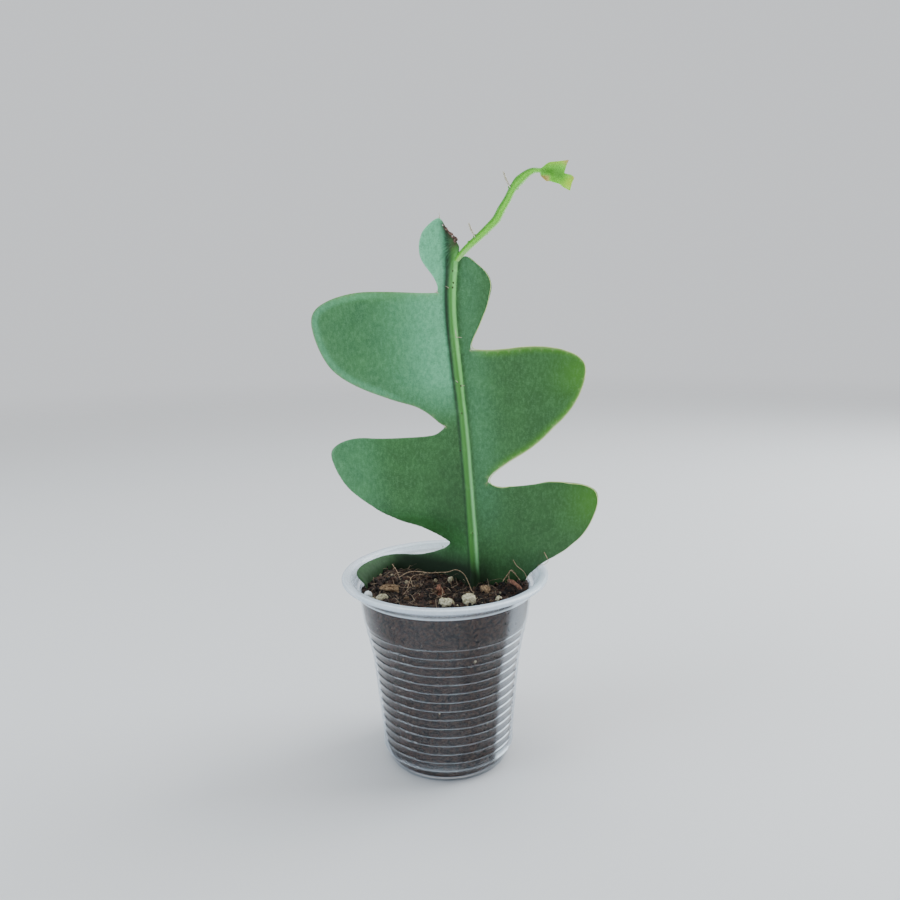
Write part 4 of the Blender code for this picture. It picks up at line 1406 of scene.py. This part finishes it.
@dataclass
class StemSegment:
    """The flat lobed segment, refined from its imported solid. Its sizes are in millimetres.

    rib_line gives the midrib's middle as (height, x), and the apex and its corner are (x, height).
    """

    rib_line: Table = (
        (36.0, 9.0), (52.0, 8.9), (71.5, 8.0), (96.5, 6.5), (112.0, 5.1), (127.0, 3.8), (137.0, 3.7),
        (145.0, 4.4), (151.0, 4.7)
    )
    rib_half: float = 1.3
    rib_share: Table = ((50.0, 1.0), (90.0, 0.85), (140.0, 0.8))
    rib_rise: float = 1.08
    blade_y: float = 0.5
    blade_half: float = 0.7
    edge_crease: float = 0.85
    skin_angle: float = math.radians(75.0)
    margin_radius: float = 0.12
    margin_ends: float = 0.2
    margin_out: float = 0.14
    margin_from: float = 2.2
    margin_low: float = 60.0
    margin_least: int = 40
    margin_smooth: int = 20
    apex_line: tuple[Flat, Flat] = ((-0.8, 154.8), (4.8, 147.8))
    apex_shift: Flat = (1.25, 0.85)
    apex_reach: float = 4.5
    apex_above: Flat = (144.0, 148.0)
    corner: Point = (8.0, 145.2, 3.0)
    corner_right: Flat = (5.5, 7.5)
    corner_rise: float = 0.5
    groove_depth: float = 0.14
    groove_middle: float = 2.1
    groove_half: float = 0.8
    groove_ends: tuple[Flat, Flat] = ((54.0, 58.0), (146.0, 142.0))
    swell: float = 0.12
    swell_size: float = 9.0

    def rib_x(self, up: Values) -> Values:
        """Reads where the middle of the midrib is at a height."""
        return read(smooth_line(self.rib_line, 8), up)

    def skins(self, shape: BMesh) -> set[BMFace]:
        """Finds the faces of the front and the back, leaving out the band round the edge.

        Args:
            shape: The segment's mesh.

        Returns:
            The faces that make up the two skins.
        """
        found: set[BMFace] = set()
        for side in (-1.0, 1.0):
            flat = [face for face in shape.faces if side * face.normal.y > 0.9]
            waiting = [max(flat, key=lambda face: face.calc_area())]
            found.add(waiting[0])
            while waiting:
                for edge in waiting.pop().edges:
                    for other in edge.link_faces:
                        if other not in found and edge.calc_face_angle(math.pi) < self.skin_angle:
                            found.add(other)
                            waiting.append(other)
        return found

    def prepare(self, stem: Object) -> None:
        """Keeps the edge crisp, and marks the band round it and the front skin.

        Args:
            stem: The welded segment.
        """
        shape = bmesh.new()
        shape.from_mesh(stem.data)
        rim = shape.verts.layers.float.new("rim")
        skin = shape.faces.layers.int.new("skin")
        crease = shape.edges.layers.float.new("crease_edge")
        skins = self.skins(shape)
        for face in shape.faces:
            if face not in skins:
                for vertex in face.verts:
                    vertex[rim] = 1.0
            elif face.normal.y < 0.0 or face.calc_center_median().y < 0.0:
                face[skin] = 1
        for edge in shape.edges:
            if len({face in skins for face in edge.link_faces}) == 2:
                edge[crease] = self.edge_crease
        shape.to_mesh(stem.data)
        shape.free()

    def margin(self, stem: Object) -> None:
        """Makes the fine horny line that runs along the edge of the right lobes; its pale colour is partly a
        painted highlight.

        Args:
            stem: The refined segment.
        """
        shape = bmesh.new()
        shape.from_mesh(stem.data)
        skin = shape.faces.layers.int["skin"]
        ways: dict[BMVert, list[BMVert]] = {}
        for edge in shape.edges:
            if len(edge.link_faces) == 2 and edge.link_faces[0][skin] != edge.link_faces[1][skin]:
                first, second = edge.verts
                ways.setdefault(first, []).append(second)
                ways.setdefault(second, []).append(first)
        lines = []
        done: set[BMVert] = set()
        for start in sorted(ways, key=lambda vertex: vertex.co.z):
            run, here = [], start
            while here is not None and here not in done:
                done.add(here)
                outward = Vector((here.normal.x, 0.0, here.normal.z)).normalized()
                run.append(here.co + outward * self.margin_out * MM)
                here = next((other for other in ways[here] if other not in done), None)
            if len(run) > self.margin_least:
                lines += self.margin_runs(run)
        shape.free()
        LOG.info("margin: %d runs", len(lines))
        Bench.dress(Bench.tubes("stem_margin", lines, 1), MARGIN_AND_HIGHLIGHT.material(), Slot.STEM)

    def has_margin(self, place: Vector) -> bool:
        """Tells whether the edge carries the horny line at a place: on the right, above the cup."""
        across = place.x / MM - float(self.rib_x(place.z / MM))
        return across > self.margin_from and place.z / MM > self.margin_low

    def margin_runs(self, run: list[Vector]) -> list[Strand]:
        """Keeps the parts of a loop along the edge that carry the horny line, and smooths them.

        Args:
            run: The loop's points, in metres.

        Returns:
            The strands, each with its radii.
        """
        made = []
        for carried, places in groupby(run, self.has_margin):
            part = list(places)
            if not carried or len(part) <= self.margin_least:
                continue
            for _ in range(self.margin_smooth):
                inner = [(a + 2.0 * b + c) / 4.0 for a, b, c in zip(part, part[1:], part[2:])]
                part = [part[0], *inner, part[-1]]
            ends = (self.margin_ends, *[1.0] * 8, self.margin_ends)
            made.append((part, tuple(self.margin_radius * share * MM for share in ends)))
        return made

    @staticmethod
    def edge_distance(stem: Object) -> Array:
        """Measures how far each point is from the edge.

        Args:
            stem: The refined segment.

        Returns:
            The distances, in millimetres.
        """
        points = Bench.points(stem) / MM
        band = np.empty(len(points), np.float32)
        stem.data.attributes["rim"].data.foreach_get("value", band)
        edge = Bench.search(points[band > 0.999])
        return np.array([edge.find(point)[2] for point in points])

    def fill_apex(self, points: Array) -> None:
        """Moves the edge under the scar, and the corner beside the shoot, a little outwards.

        Args:
            points: The segment's points in millimetres, which are changed.
        """
        x, z = points[:, 0], points[:, 2]
        apart = np.linalg.norm(beside(points[:, ::2], *self.apex_line)[1], axis=1)
        near = ramp(apart, self.apex_reach, 0.0) * ramp(z, *self.apex_above)
        lift = self.corner_rise * spot(x, z, *self.corner) * ramp(x, *self.corner_right)
        points[:, 0] += self.apex_shift[0] * near
        points[:, 2] += self.apex_shift[1] * near + lift

    def build(self, node: Object) -> None:
        """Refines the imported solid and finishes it.

        Args:
            node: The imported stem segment.
        """
        stem = Bench.weld(node, "lobed_stem")
        self.prepare(stem)
        Bench.refine(stem, 2)
        points, normals = Bench.points(stem) / MM, Bench.normals(stem)
        self.fill_apex(points)
        up = points[:, 2].copy()
        across = points[:, 0] - self.rib_x(up)
        groove = self.groove_depth * hump(np.abs(across), self.groove_middle, self.groove_half)
        low, high = self.groove_ends
        groove *= ramp(up, *low) * ramp(up, *high) * (np.abs(normals[:, 1]) > 0.5)
        swell = [self.swell * noise.noise(Vector(point) / self.swell_size) for point in points]
        points += normals * (np.array(swell) - groove)[:, None]
        Bench.move(stem, points * MM)
        front = ramp(Bench.normals(stem)[:, 1], 0.0, -1.0 / 3.0)
        width = self.rib_half * read(self.rib_share, up)
        StemMarks(across, up, self.edge_distance(stem), front, width).store(stem)
        self.margin(stem)
        Bench.dress(stem, StemFinish().material(), Slot.STEM, ("stem_segment",))


@dataclass
class YoungShoot:
    """The new growth: a flattened stalk that grows out of the midrib, its toothed tip and its bristles.

    Its sizes are in millimetres, and each of the knobs is an x, a height and a radius. The flap is the
    tip's lower left tooth, and the core is the deep green that runs from the stalk into the tip.
    """

    stalk: Points = (
        (4.0, 0.1, 141.5), (4.6, -0.1, 143.8), (5.6, 0.0, 145.4), (7.0, 0.1, 146.9), (8.7, 0.1, 148.5),
        (10.7, 0.1, 150.2), (13.9, 0.0, 153.1), (15.9, 0.0, 155.1), (17.2, 0.0, 157.5), (18.8, 0.0, 160.0),
        (20.2, -0.1, 162.6), (22.1, -0.2, 164.9), (25.2, -0.3, 167.1), (28.6, -0.4, 167.3)
    )
    radii: Numbers = (
        0.3, 0.62, 0.8, 0.92, 0.98, 1.02, 1.1, 1.2, 1.14, 1.06, 1.02, 1.36, 0.9, 0.45
    )
    flatness: float = 0.62
    voxel: float = 0.12
    tip_from: float = 27.0
    tip_y: float = -0.4
    tip_thin: float = 0.5
    tip_bend: float = 0.55
    fold_z: float = 166.6
    fold_depth: float = 1.1
    fold_half: float = 3.0
    dent: float = 0.5
    dent_x: Flat = (29.5, 2.0)
    wave: float = 0.5
    wave_turn: float = 0.9
    flap_x: Flat = (30.5, 29.0)
    flap_z: Flat = (166.6, 165.4)
    neck: float = 0.4
    neck_z: float = 167.2
    knobs: Points = (
        (8.4, 149.3, 0.4), (10.0, 150.9, 0.5), (13.3, 151.5, 0.46), (17.9, 157.0, 0.44), (19.5, 163.3, 0.52),
        (21.6, 162.8, 0.42)
    )
    bristles: tuple[tuple[Point, Point], ...] = (
        ((10.2, -0.3, 150.4), (8.4, -0.8, 154.2)),
        ((19.9, -0.3, 162.6), (17.7, -0.9, 167.1)),
    )
    bristle_radii: Numbers = (0.14, 0.22, 0.3, 0.2)
    pink_spot: Point = (35.0, 169.6, 1.4)
    low_pink_spot: Point = (36.6, 165.3, 0.8)
    yellow_spot: Point = (35.1, 163.6, 2.0)
    neck_spot: Point = (26.6, 167.4, 0.9)
    pink_flap_x: Flat = (30.6, 29.4)
    pink_flap_z: Flat = (166.4, 165.6)
    top_edge: Flat = (169.6, 0.9)
    core_from: float = 26.8
    core_length: float = 7.2
    core_fall: float = 1.7
    core_half: Flat = (0.5, 1.5)
    core_end: Flat = (35.6, 33.0)
    lower_right: Flat = (0.75, -0.66)
    bristle_bow: Point = (-0.15, 0.0, -0.1)

    def melt(self, obj: Object, rounds: int) -> None:
        """Melts an object's pieces together and smooths them that many times."""
        Bench.apply(obj, "REMESH", mode="VOXEL", voxel_size=self.voxel * MM)
        Bench.apply(obj, "SMOOTH", factor=0.5, iterations=rounds)

    def tip(self, node: Object) -> Object:
        """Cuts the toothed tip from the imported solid, thins it and cups it.

        Args:
            node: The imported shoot.

        Returns:
            The tip.
        """
        tip = Bench.weld(node, "tip")
        bpy.ops.object.mode_set(mode="EDIT")
        bpy.ops.mesh.select_all(action="SELECT")
        bpy.ops.mesh.bisect(
            plane_co=(self.tip_from * MM, 0.0, 0.0), plane_no=(1.0, 0.0, 0.0), use_fill=True, clear_inner=True
        )
        bpy.ops.object.mode_set(mode="OBJECT")
        self.melt(tip, 4)
        points = Bench.points(tip) / MM
        x, z = points[:, 0], points[:, 2]
        fold = self.fold_depth * np.square((z - self.fold_z) / self.fold_half)
        wave = self.wave * np.sin((x - self.tip_from) * self.wave_turn)
        cup = fold - self.dent * hump(x, *self.dent_x) + wave
        flap = ramp(z, *self.flap_z) * ramp(x, *self.flap_x)
        points[:, 1] = self.tip_y + (points[:, 1] - self.tip_y) * self.tip_thin
        points[:, 1] -= self.tip_bend * (cup - flap) * ramp(x - self.tip_from, 0.0, 2.0)
        neck = self.neck + (1.0 - self.neck) * ramp(x - self.tip_from, 0.0, 2.6)
        points[:, 2] = self.neck_z + (z - self.neck_z) * neck
        Bench.move(tip, points * MM)
        return tip

    def knobbed_stalk(self) -> Object:
        """Makes the stalk and melts it together with its knobs.

        Returns:
            The stalk.
        """
        line = [point * MM for point in smooth_line(self.stalk, 6)]
        stalk = Bench.tubes("stalk", [(line, tuple(radius * MM for radius in self.radii))], 6)
        knobs = []
        for x, z, size in self.knobs:
            bpy.ops.mesh.primitive_uv_sphere_add(segments=16, ring_count=10, radius=size * MM)
            knobs.append(bpy.context.object)
            knobs[-1].location = (x * MM, 0.0, z * MM)
            Bench.hold(knobs[-1])
            bpy.ops.object.transform_apply(location=True)
        points = Bench.points(stalk)
        points[:, 1] *= self.flatness
        Bench.move(stalk, points)
        shoot = Bench.join("young_shoot", [stalk, *knobs])
        self.melt(shoot, 8)
        return shoot

    def right_side(self, x: Array, z: Array) -> Array:
        """Works out how far points are to the lower right of the stalk's middle.

        Args:
            x: The points' x.
            z: Their heights.

        Returns:
            The distances, as shares of the stalk's thickness there.
        """
        line = Bench.search([(point.x, 0.0, point.z) for point in smooth_line(self.stalk, 60)])
        middles = np.array([line.find((place_x, 0.0, place_z))[0] for place_x, place_z in zip(x, z)])
        thick = np.interp(middles[:, 2], [point[2] for point in self.stalk], self.radii)
        across, up = self.lower_right
        return (across * (x - middles[:, 0]) + up * (z - middles[:, 2])) / thick

    def colour(self, shoot: Object) -> None:
        """Stores where the shoot is deep green or in painted shade, pink or yellow, and where it has a
        painted highlight.

        Args:
            shoot: The finished form.
        """
        points, normals = Bench.points(shoot) / MM, Bench.normals(shoot)
        x, z = points[:, 0], points[:, 2]
        on_tip = ramp(x - self.tip_from, 0.0, 1.0)
        share = np.clip((x - self.core_from) / self.core_length, 0.0, 1.0)
        half, more = self.core_half
        core = hump(z, self.neck_z - self.core_fall * share**2, half + more * share)
        core *= ramp(x, *self.core_end)
        flap = ramp(z, *self.pink_flap_z) * ramp(x, *self.pink_flap_x)
        pink = [spot(x, z, *self.pink_spot), 0.9 * flap, 0.8 * spot(x, z, *self.low_pink_spot)]
        yellow = np.maximum(spot(x, z, *self.yellow_spot), 0.7 * hump(z, *self.top_edge))
        side = self.right_side(x, z)
        knob = np.max([spot(x, z, knob_x, knob_z, 0.8 * size) for knob_x, knob_z, size in self.knobs], axis=0)
        # Painted shade on the stalk's upper left side and on the left of its knobs.
        shaded = 0.8 * np.maximum(ramp(side, 0.1, -0.8), knob * (side < 0.0))
        # Painted highlight along the stalk's lower right side, where it leaves the midrib, and on the neck's
        # upper face.
        margin = ramp(side, 0.5, 0.8) * (1.0 - on_tip)
        root = ramp(z, 149.5, 146.5) * ramp(side, -0.3, 0.2)
        neck = spot(x, z, *self.neck_spot) * (normals[:, 2] > 0.2)
        # deep: the tip's own deep green core, and the painted shade on the stalk.
        Bench.carry(shoot, "deep", 0.6 * on_tip * core + (1.0 - on_tip) * shaded)
        Bench.carry(shoot, "pink", 0.8 * np.max(pink, axis=0) * on_tip * (1.0 - 0.8 * core))
        Bench.carry(shoot, "yellow", 0.75 * yellow * on_tip * (1.0 - core))
        Bench.carry(shoot, "pale", np.max([0.8 * margin, 0.35 * neck, 0.45 * root], axis=0))

    def build(self, node: Object) -> None:
        """Makes the stalk, the tip and the bristles, and finishes them.

        Args:
            node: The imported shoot.
        """
        shoot = Bench.join("young_shoot", [self.knobbed_stalk(), self.tip(node)])
        self.colour(shoot)
        Bench.dress(shoot, ShootFinish().material(), Slot.YOUNG, ("new_shoot",))
        hairs = []
        for start, end in self.bristles:
            foot, top = Vector(start) * MM, Vector(end) * MM
            middle = foot.lerp(top, 0.5) + Vector(self.bristle_bow) * MM
            hairs.append((smooth_line([foot, middle, top], 4), tuple(r * MM for r in self.bristle_radii)))
        Bench.dress(Bench.tubes("shoot_bristles", hairs, 2), HAIR.material(), Slot.YOUNG)


@dataclass
class SmallParts:
    """The loose grains and chips, the scar, the stick, the roots and the hairs of the mix and the midrib.

    Its sizes are in millimetres. The third value of a place of the roots is its height over the mix, and
    the areoles, sinuses and rib_bristles start at an (across, up).
    """

    mix: PottingMix
    stem: StemSegment
    root_radius: float = 0.13
    root_rest: float = 0.85
    roots: tuple[Points, ...] = (
        ((-13.8, 5.0, 0.0), (-12.2, 4.0, 1.6), (-10.4, 3.2, 2.3), (-7.4, 2.4, 2.4), (-4.4, 1.8, 2.4),
         (-1.4, 1.0, 2.8), (0.9, 0.3, 3.3), (3.0, -0.6, 4.3), (4.7, -1.5, 4.4), (5.9, -2.4, 3.4),
         (6.9, -4.0, 1.7), (7.6, -6.5, 0.4), (8.2, -9.0, 0.0)),
        ((-11.6, 7.0, 0.0), (-10.9, 4.9, 0.9), (-10.3, 2.0, 0.5), (-9.3, -3.0, 0.0)),
        ((-6.3, 6.0, 0.0), (-7.7, 4.0, 1.2), (-9.7, 0.0, 1.5), (-11.0, -4.0, 0.0)),
        ((16.8, -1.3, 0.0), (18.4, -1.2, 1.9), (19.2, -1.2, 2.6), (20.6, -1.3, 1.6), (21.8, -1.6, 0.0)),
    )
    hairs: tuple[Points, ...] = (
        ((-16.1, 9.0, 55.7), (-14.5, 6.5, 54.3), (-13.4, 2.7, 53.0)),
        ((19.9, -0.9, 59.7), (21.0, -1.2, 57.9), (23.0, -1.6, 56.2), (24.1, -2.0, 53.6)),
        ((18.7, 0.0, 52.8), (18.7, -0.5, 55.0), (19.0, -0.8, 56.3), (19.6, -0.8, 56.6), (20.7, -1.0, 55.4)),
        ((28.9, -1.0, 61.9), (29.7, -1.5, 60.3), (30.0, -1.5, 59.4), (29.0, -2.0, 58.6), (27.0, -1.2, 58.0)),
        ((-1.1, -6.4, 54.0), (-0.6, -8.4, 53.4), (-1.1, -10.6, 52.4)),
    )
    hair_radii: Flat = (0.1, 0.05)
    fibre_count: int = 190
    fibre_reach: float = 22.3
    fibre_limit: float = 23.4
    fibre_knots: int = 6
    fibre_rest: float = 0.3
    fibre_arch: float = 2.2
    fibre_step: Flat = (0.5, 1.5)
    fibre_bend: Flat = (-0.9, 0.9)
    fibre_turn: Flat = (0.2, 0.9)
    fibre_radius: Flat = (0.035, 0.075)
    shred_count: int = 11
    shred_radius: Flat = (0.18, 0.42)
    seed: int = 5
    scar_voxel: float = 0.12
    scar_shift: Point = (-0.5, 0.0, -0.42)
    scar_thin: float = 0.85
    scar_ends: tuple[Point, Point] = ((0.6, 0.5, 154.2), (6.3, 0.5, 147.2))
    scar_laid: tuple[Point, Point] = ((1.5, 0.5, 154.2), (6.0, 0.5, 149.2))
    scar_taper: float = 0.35
    areoles: Table = (
        (-0.1, 141.7), (0.2, 138.6), (0.1, 137.4), (0.0, 120.8), (-0.3, 111.6), (0.4, 110.6), (-0.2, 103.0),
        (-1.5, 137.1), (-1.7, 92.2), (0.1, 81.0), (0.0, 68.0)
    )
    eye_size: float = 0.24
    side_eye_size: float = 0.18
    eye_shape: Point = (0.9, 0.7, 1.25)
    rib_bristles: tuple[tuple[Flat, Point], ...] = (
        ((0.5, 124.0), (-0.2, -0.6, 2.5)),
        ((0.5, 124.0), (1.6, -0.4, -0.1)),
        ((0.4, 110.6), (1.0, -0.5, 0.2)),
        ((-0.3, 111.6), (-0.7, -0.5, 0.6)),
        ((-1.0, 137.3), (-0.9, -0.5, 0.5)),
    )
    rib_bristle_radius: float = 0.11
    sinuses: Table = ((-4.0, 136.1), (4.2, 120.4), (-5.3, 99.0), (5.4, 82.7), (-8.7, 63.6))
    sinus_bristles: tuple[tuple[Point, float], ...] = (
        ((0.4, -0.7, 0.7), 0.12), ((0.8, -0.5, 0.1), 0.1), ((-0.3, -0.8, -0.3), 0.09)
    )
    apex_bristle: tuple[Point, Point, float] = ((0.6, 1.2, 155.3), (0.0, -0.3, 1.8), 0.16)

    @staticmethod
    def grain(node: Object, finish: Material, slot: Slot, sharp: float) -> None:
        """Makes a finer grain or chip of a packed one.

        Args:
            node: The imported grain.
            finish: Its material.
            slot: Its slot.
            sharp: How deep its broken faces are, as a share of its size.
        """
        grain = Bench.weld(node, "fine_" + node.name)
        size = max(grain.dimensions)
        Bench.refine(grain, 2)
        Bench.roughen(grain, size * 0.3, size * sharp, size * 900.0)
        Bench.roughen(grain, size * 0.1, size * sharp * 0.4, size * 500.0)
        Bench.dress(grain, finish, slot, (node.name,))

    @staticmethod
    def inside(draws: random.Random, half: Vector, end: float, width: float, rise: Flat) -> Vector:
        """Draws a place in a box of some half sizes, end along it, within a width and a rise."""
        return Vector((end * half.x, half.y * draws.uniform(-width, width), half.z * draws.uniform(*rise)))

    def shreds(self, node: Object) -> None:
        """Makes the bundle of bark shreds.

        Args:
            node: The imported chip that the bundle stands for.
        """
        draws = random.Random(self.seed)
        low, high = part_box(node.name)
        middle, half = (low + high) / 2.0, (high - low) / 2.0
        lines = []
        for _ in range(self.shred_count):
            start = middle + self.inside(draws, half, -1.0, 0.9, (-0.4, 0.9))
            end = middle + self.inside(draws, half, 1.0, 0.9, (-0.5, 0.6))
            bow = self.inside(draws, half, 0.0, 0.3, (0.1, 0.6))
            points = [start, start.lerp(end, 0.35) + bow, start.lerp(end, 0.7) + bow * 0.8, end]
            thick = draws.uniform(*self.shred_radius) * MM
            lines.append((smooth_line(points, 4), (thick * 0.6, thick, thick * 0.5)))
        bundle = Bench.tubes("bark_shreds", lines, 1)
        Bench.roughen(bundle, 0.6 * MM, 0.16 * MM)
        Bench.dress(bundle, TAN_BARK.material(), Slot.BARK, (node.name,))

    def root_lines(self) -> list[list[Vector]]:
        """Lays each root's line on the mix, in metres.

        Returns:
            The lines.
        """
        made = []
        for points in self.roots:
            line = [Vector((x, y, self.mix.height(x, y) + self.root_rest + z)) * MM for x, y, z in points]
            made.append(smooth_line(line, 5))
        return made

    def fibres(self) -> list[Strand]:
        """Scatters short fibres over the mix.

        Returns:
            The fibres, each with its radii, in metres.
        """
        draws = random.Random(self.seed + 1)
        lines = []
        for _ in range(self.fibre_count):
            angle, reach = draws.uniform(0.0, math.tau), self.fibre_reach * math.sqrt(draws.random())
            x, y = reach * math.cos(angle), reach * math.sin(angle)
            heading, bend = draws.uniform(0.0, math.tau), draws.uniform(*self.fibre_bend)
            step, arch = draws.uniform(*self.fibre_step), self.fibre_arch * draws.random() ** 2
            points = []
            for number in range(self.fibre_knots):
                rise = arch * math.sin(math.pi * number / (self.fibre_knots - 1))
                points.append(Vector((x, y, self.mix.height(x, y) + self.fibre_rest + rise)) * MM)
                heading += bend * draws.uniform(*self.fibre_turn)
                x, y = x + step * math.cos(heading), y + step * math.sin(heading)
                if math.hypot(x, y) > self.fibre_limit:
                    break
            if len(points) > 2:
                thick = draws.uniform(*self.fibre_radius) * MM
                lines.append((smooth_line(points, 2), (thick, thick * 0.4)))
        return lines

    def on_rib(self, across: float, up: float) -> Vector:
        """Places a point on the front of the midrib, in metres.

        Args:
            across: Its distance from the midrib's middle, in millimetres.
            up: Its height, in millimetres.

        Returns:
            The place.
        """
        stem = self.stem
        rise = stem.rib_rise * math.sqrt(max(0.0, 1.0 - (across / stem.rib_half) ** 2))
        return Vector((float(stem.rib_x(up)) + across, stem.blade_y - stem.blade_half - rise, up)) * MM

    def spots(self) -> None:
        """Makes the dark eye of each areole."""
        eyes = []
        for number, (across, up) in enumerate(self.areoles):
            size = (self.eye_size if abs(across) < 1.0 else self.side_eye_size) * MM
            bpy.ops.mesh.primitive_uv_sphere_add(segments=12, ring_count=8, radius=size)
            eye = bpy.context.object
            eye.location = self.on_rib(across, up)
            eye.scale = self.eye_shape
            Bench.hold(eye)
            bpy.ops.object.transform_apply(location=True, rotation=True, scale=True)
            Bench.roughen(eye, 0.3 * MM, 0.08 * MM, number)
            eyes.append(eye)
        Bench.dress(Bench.join("areoles", eyes), SPOT.material(), Slot.DRY)

    @staticmethod
    def bristle(start: Vector, way: Point, radius: float) -> Strand:
        """Draws one bristle that bends a little.

        Args:
            start: Its foot, in metres.
            way: The way to its end, in millimetres.
            radius: Its radius at its foot, in millimetres.

        Returns:
            The bristle's strand.
        """
        end = start + Vector(way) * MM
        middle = start.lerp(end, 0.5) + Vector((0.0, -0.12, 0.1)) * MM
        return [start, middle, end], (radius * MM, radius * 0.3 * MM)

    def bristles(self) -> None:
        """Makes the short pale bristles of the areoles, the lobes' sinuses and the apex."""
        lines = []
        for place, way in self.rib_bristles:
            lines.append(self.bristle(self.on_rib(*place), way, self.rib_bristle_radius))
        for across, up in self.sinuses:
            place = Vector((float(self.stem.rib_x(up)) + across, self.stem.blade_y, up)) * MM
            side = math.copysign(1.0, across)
            for (x, y, z), radius in self.sinus_bristles:
                lines.append(self.bristle(place, (side * x, y, z), radius))
        place, way, radius = self.apex_bristle
        lines.append(self.bristle(Vector(place) * MM, way, radius))
        Bench.dress(Bench.tubes("bristles", lines, 2), HAIR.material(), Slot.DRY)

    def scar(self, node: Object) -> None:
        """Bends the corky scar so that it lies along the filled-out apex, narrower at its top.

        Args:
            node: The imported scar.
        """
        scar = Bench.weld(node, "corky_scar")
        Bench.apply(scar, "REMESH", mode="VOXEL", voxel_size=self.scar_voxel * MM)
        points = Bench.points(scar) / MM + np.array(self.scar_shift)
        points[:, 1] *= self.scar_thin
        share, offset = beside(points, *self.scar_ends)
        start, end = (np.array(place) for place in self.scar_laid)
        taper = self.scar_taper + (1.0 - self.scar_taper) * share
        Bench.move(scar, (start + (end - start) * share + offset * taper) * MM)
        Bench.roughen(scar, 0.8 * MM, 0.25 * MM)
        Bench.roughen(scar, 0.25 * MM, 0.08 * MM, 4.0)
        Bench.dress(scar, SCAR.material(), Slot.DRY, ("dry_tip",))

    def build(self, nodes: dict[str, Object]) -> None:
        """Makes every small part.

        Args:
            nodes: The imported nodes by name.
        """
        cream, white = PERLITE.material(), WHITE_PERLITE.material()
        for number in range(1, 8):
            self.grain(nodes[f"perlite_{number}"], white if number == 1 else cream, Slot.PERLITE, 0.07)
        red = RED_BARK.material()
        self.shreds(nodes["bark_1"])
        self.grain(nodes["bark_2"], red, Slot.BARK, 0.1)
        self.grain(nodes["bark_3"], TAN_BARK.material(), Slot.BARK, 0.09)
        self.grain(nodes["stick"], red, Slot.BARK, 0.02)
        self.scar(nodes["dry_tip"])
        finish = ROOT.material()
        thick = (self.root_radius * MM, self.root_radius * 0.6 * MM)
        for number, line in enumerate(self.root_lines(), 1):
            root = Bench.tubes(f"fine_root_{number}", [(line, thick)], 2)
            Bench.dress(root, finish, Slot.ROOT, (f"root_{number}",))
        radii = tuple(radius * MM for radius in self.hair_radii)
        hairs = [([point * MM for point in smooth_line(line, 4)], radii) for line in self.hairs]
        Bench.dress(Bench.tubes("root_hairs", hairs, 1), finish, Slot.ROOT)
        Bench.dress(Bench.tubes("fibres", self.fibres(), 1), FIBRE.material(), Slot.BARK)
        self.spots()
        self.bristles()


def main() -> None:
    """Builds the studio and every piece in order."""
    logging.basicConfig(level=logging.INFO, format="%(name)s: %(message)s")
    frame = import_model()
    nodes = frame["nodes"]
    Studio().build()
    cup = Cup()
    cup.build()
    mix = PottingMix(cup)
    mix.build()
    stem = StemSegment()
    stem.build(nodes["stem_segment"])
    YoungShoot().build(nodes["new_shoot"])
    SmallParts(mix, stem).build(nodes)


if __name__ == "__main__":
    main()
